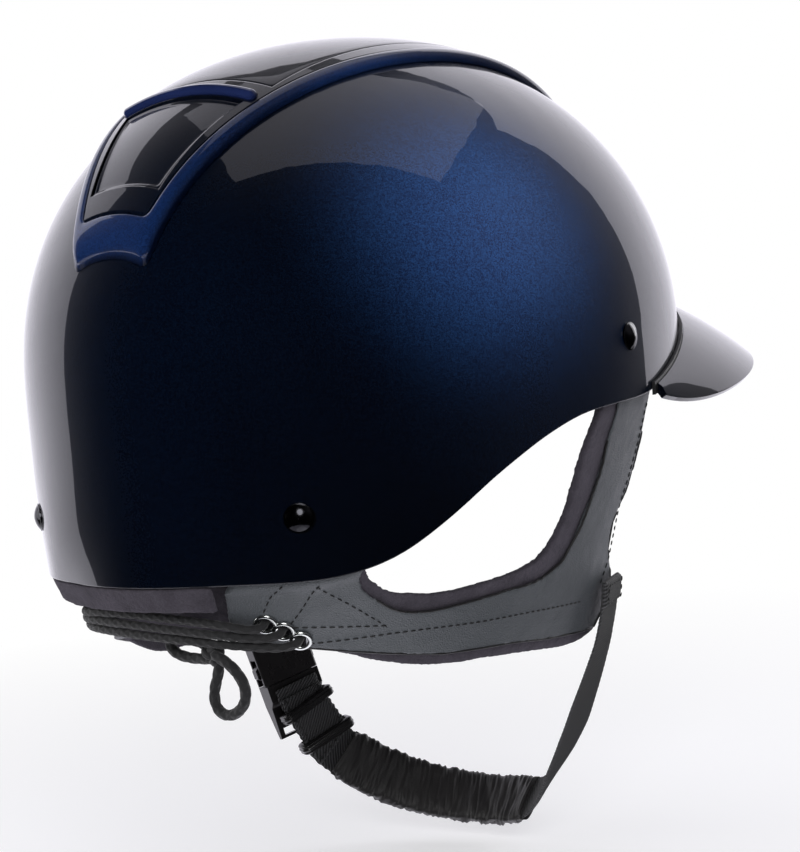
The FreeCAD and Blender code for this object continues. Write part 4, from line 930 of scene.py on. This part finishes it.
right_way = stations_between(0.0, 9.2)
strap = woven("strap_right", right_way, web_width, -half_web, half_web, fold=fold_length)
place(strap, None, "webbing", "webbing_right")
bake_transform(strap)
box_seam = [[(-8.3, 1.6), (8.3, 1.6), (8.3, 8.0), (-8.3, 8.0), (-8.3, 1.6)]]
place(sew("strap_seam_right", on_web(right_way, box_seam, -half_web - fold_rise)), "helmet", "webbing")
left_way = stations_between(10.2, 19.0)
strap = woven("strap_left", left_way, web_width, -half_web, half_web)
place(strap, "buckle_plug", "webbing", "webbing_left")
tail_low = half_web + 0.12
tail_way = stations_between(13.95, 18.2)
tail = woven("strap_tail", tail_way, web_width - 0.4, tail_low, tail_low + web_thickness, wave=0.5)
place(tail, "buckle_plug", "webbing", "webbing_tail")
tail_end = spaced(tail_way, 0.1)[0][-1]
hem = [[(s, 0.8), (s, tail_end - 0.8)] for s in (-7.9, 7.9)] + [[(-7.9, 1.5), (7.9, 1.5)]]
place(sew("tail_seam", on_web(tail_way, hem, tail_low + web_thickness)), "buckle_plug", "webbing")
bar_low, loop_top, leg = 19.6, 28.0, 2.55
turning = [(loop_top, -leg)] + [(bar_low + 3.0, -leg)]
turning += [(bar_low - leg * math.sin(a), -leg * math.cos(a)) for a in np.linspace(0.0, math.pi, 25)]
turning += [(bar_low + 3.0, leg), (loop_top, leg)]
fold_way = []
for k, (up, inward) in enumerate(turning):
    before, after = turning[max(k - 1, 0)], turning[min(k + 1, len(turning) - 1)]
    way = buckle_up * (after[0] - before[0]) + buckle_in * (after[1] - before[1])
    out = np.cross(way, buckle_side)
    fold_way.append((at_buckle(0.0, up, inward), buckle_side, out / np.linalg.norm(out)))
loop = woven("buckle_fold", fold_way, web_width, -half_web, half_web)
place(loop, "chin_strap", "webbing", "webbing_buckle_loop")
top = np.array((81.0, -34.0, -87.0))
drop_line = [at_buckle(0, loop_top + 0.15, -leg), at_buckle(0, loop_top + 4.0, -leg),
             top + (1.2, 1.0, -6.0), top]
drop_sides = [buckle_side, buckle_side * 0.8 + np.array((0.058, 0.191, 0)), np.array((0.29, 0.956, -0.05)),
              np.array((0.29, 0.956, 0))]
drop_way, smooth_drop = [], smooth_line(drop_line, 60)[::-1]
for k, centre in enumerate(smooth_drop):
    share = 3.0 * (1.0 - k / (len(smooth_drop) - 1.0))
    i = min(int(share), 2)
    side = drop_sides[i] * (1 - share + i) + drop_sides[i + 1] * (share - i)
    way = smooth_drop[min(k + 1, len(smooth_drop) - 1)] - smooth_drop[max(k - 1, 0)]
    inward = np.cross(side, way)
    inward = inward * -np.sign(inward[0]) / np.linalg.norm(inward)
    side = np.cross(inward, way)
    drop_way.append((centre, side / np.linalg.norm(side), inward))
drop = woven("strap_drop", drop_way, web_width, -half_web, half_web, fold=fold_length)
place(drop, None, "webbing", "webbing_drop")
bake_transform(drop)

# ---------------------------------------------------------------- Chin sleeve
# A soft tube of thin black fabric over foam, gathered along the webbing, so that
# fine folds run round its girth; its two ends are hemmed.
gathered = grained("gathered_fabric", (0.003, 0.0025, 0.003), (0.012, 0.010, 0.011), 0.52, 1700.0, 0.0003,
                   Sheen_Weight=0.12)


def sleeve_shape(stations, width, thickness, channel_width, channel_depth, around=112):
    """A gathered tube round the webbing, with its channel, as points and faces."""
    at, rows = spaced(stations, 0.5)
    turn = np.arange(around) * math.tau / around
    wide, deep = np.cos(turn), np.sin(turn)
    wide = np.sign(wide) * np.abs(wide) ** 0.42
    deep = np.sign(deep) * np.abs(deep) ** 0.62
    points, there = [], list(zip(at, rows))
    for channel, way in ((False, there), (True, there[::-1])):
        for run, (centre, side, inward) in way:
            ends = min(run, at[-1] - run)
            pinch = 1.0 - 0.16 * math.exp(-(ends / 2.4) ** 2)
            for k in range(around):
                if channel:
                    spot = side * wide[k] * channel_width / 2 + inward * deep[k] * channel_depth / 2
                else:
                    skew = run + 1.6 * deep[k] + 2.2 * wide[k]
                    fold = noise.noise(Vector((skew / 1.3, 1.1 * wide[k], 0.8 * deep[k])))
                    broad = noise.noise(Vector((skew / 5.2, wide[k] + 7.0, deep[k])))
                    lift = (0.85 * fold + 0.55 * broad - 0.6) * min(ends / 2.0, 1.0)
                    spot = (side * wide[k] * (width / 2 * pinch + lift)
                            + inward * deep[k] * (thickness / 2 * pinch + lift))
                points.append((centre + spot) * mm)
    return points, net(2 * len(rows), around, loop_rows=True)


sleeve_way = stations_between(8.0, 13.6)
sleeve = turned_out(new_piece("sleeve", *sleeve_shape(sleeve_way, 23.0, 7.5, 20.7, 2.3), gathered))
place(sleeve, None, "sleeve_black", "chin_sleeve")
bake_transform(sleeve)

# ---------------------------------------------------------------- Keepers
# Two stretchy rubber rings hold the loose end of the webbing; each is moulded with
# two low ribs and has a soft shine.
rubber = grained("keeper_rubber", (0.006, 0.006, 0.006), (0.014, 0.013, 0.014), 0.24, 1300.0, 0.0001)


def keeper_ring(name, at, wall=2.0, length=4.8, room=0.7):
    """A closed rubber ring round both layers of webbing."""
    centre, side, inward = web_station(at)
    way = np.cross(side, inward)
    low, high = -half_web - room, half_web + 0.12 + web_thickness + room
    half_wide, half_deep = web_width / 2 + room, (high - low) / 2
    centre = centre + inward * (low + high) / 2
    corners, corner = [], 0.9
    for sx, sy, start in ((1, 1, 0.0), (-1, 1, 0.5), (-1, -1, 1.0), (1, -1, 1.5)):
        for a in np.linspace(0.0, 0.5, 7):
            angle = (start + a) * math.pi
            corners.append((sx * (half_wide - corner), sy * (half_deep - corner), angle))
    span = np.linspace(-1.0, 1.0, 19)
    profile = [(wall * ((1 - abs(q) ** 3.0) ** 0.5 * 0.86 + 0.14 * math.cos(q * 1.5 * math.pi) ** 2), q)
               for q in span]
    profile = [(0.0, -1.0)] + profile + [(0.0, 1.0)]
    points = []
    for x, y, angle in corners:
        for rise, q in profile:
            reach = corner + rise
            points.append((centre + side * (x + reach * math.cos(angle))
                           + inward * (y + reach * math.sin(angle)) + way * q * length / 2) * mm)
    return turned_out(new_piece(name, points, net(len(corners), len(profile), loop_rows=True), rubber))


for node, at in (("keeper_lower", 14.75), ("keeper_upper", 17.1)):
    place(keeper_ring(node + "_ring", at), node, "keeper_rubber", node)

# ---------------------------------------------------------------- Buckle
# A side-release buckle moulded in black acetal: satin faces with a fine grain and
# edges eased a little in shading. Its halves are the design's own solids.
acetal = grained("buckle_black", (0.006, 0.0055, 0.006), (0.016, 0.014, 0.015), 0.28, 1900.0, 0.00006)
finish(acetal, "buckle_socket", "buckle_plug", "latch_front", "latch_rear")

# ---------------------------------------------------------------- Lamp aim
# The soft lamps leave out the lacquer, and the spots that wake its flakes light it alone.
shiny = [frame["nodes"][n] for n in ("outer_shell", "crown_panel", "rear_vent_lip", "front_vent_lip", "peak")]
shiny += [trim, plate] + [o for o in bpy.data.objects if o.name.endswith("_vent_cover_face")]
for name, state, lamps in (("no_soft_lamps", "EXCLUDE", (soft_key, soft_fill, soft_front, soft_low)),
                           ("glow_only", "INCLUDE", glows)):
    lit = bpy.data.collections.new(name)
    for piece in shiny:
        lit.objects.link(piece)
    for item in lit.collection_objects:
        item.light_linking.link_state = state
    for light in lamps:
        light.light_linking.receiver_collection = lit
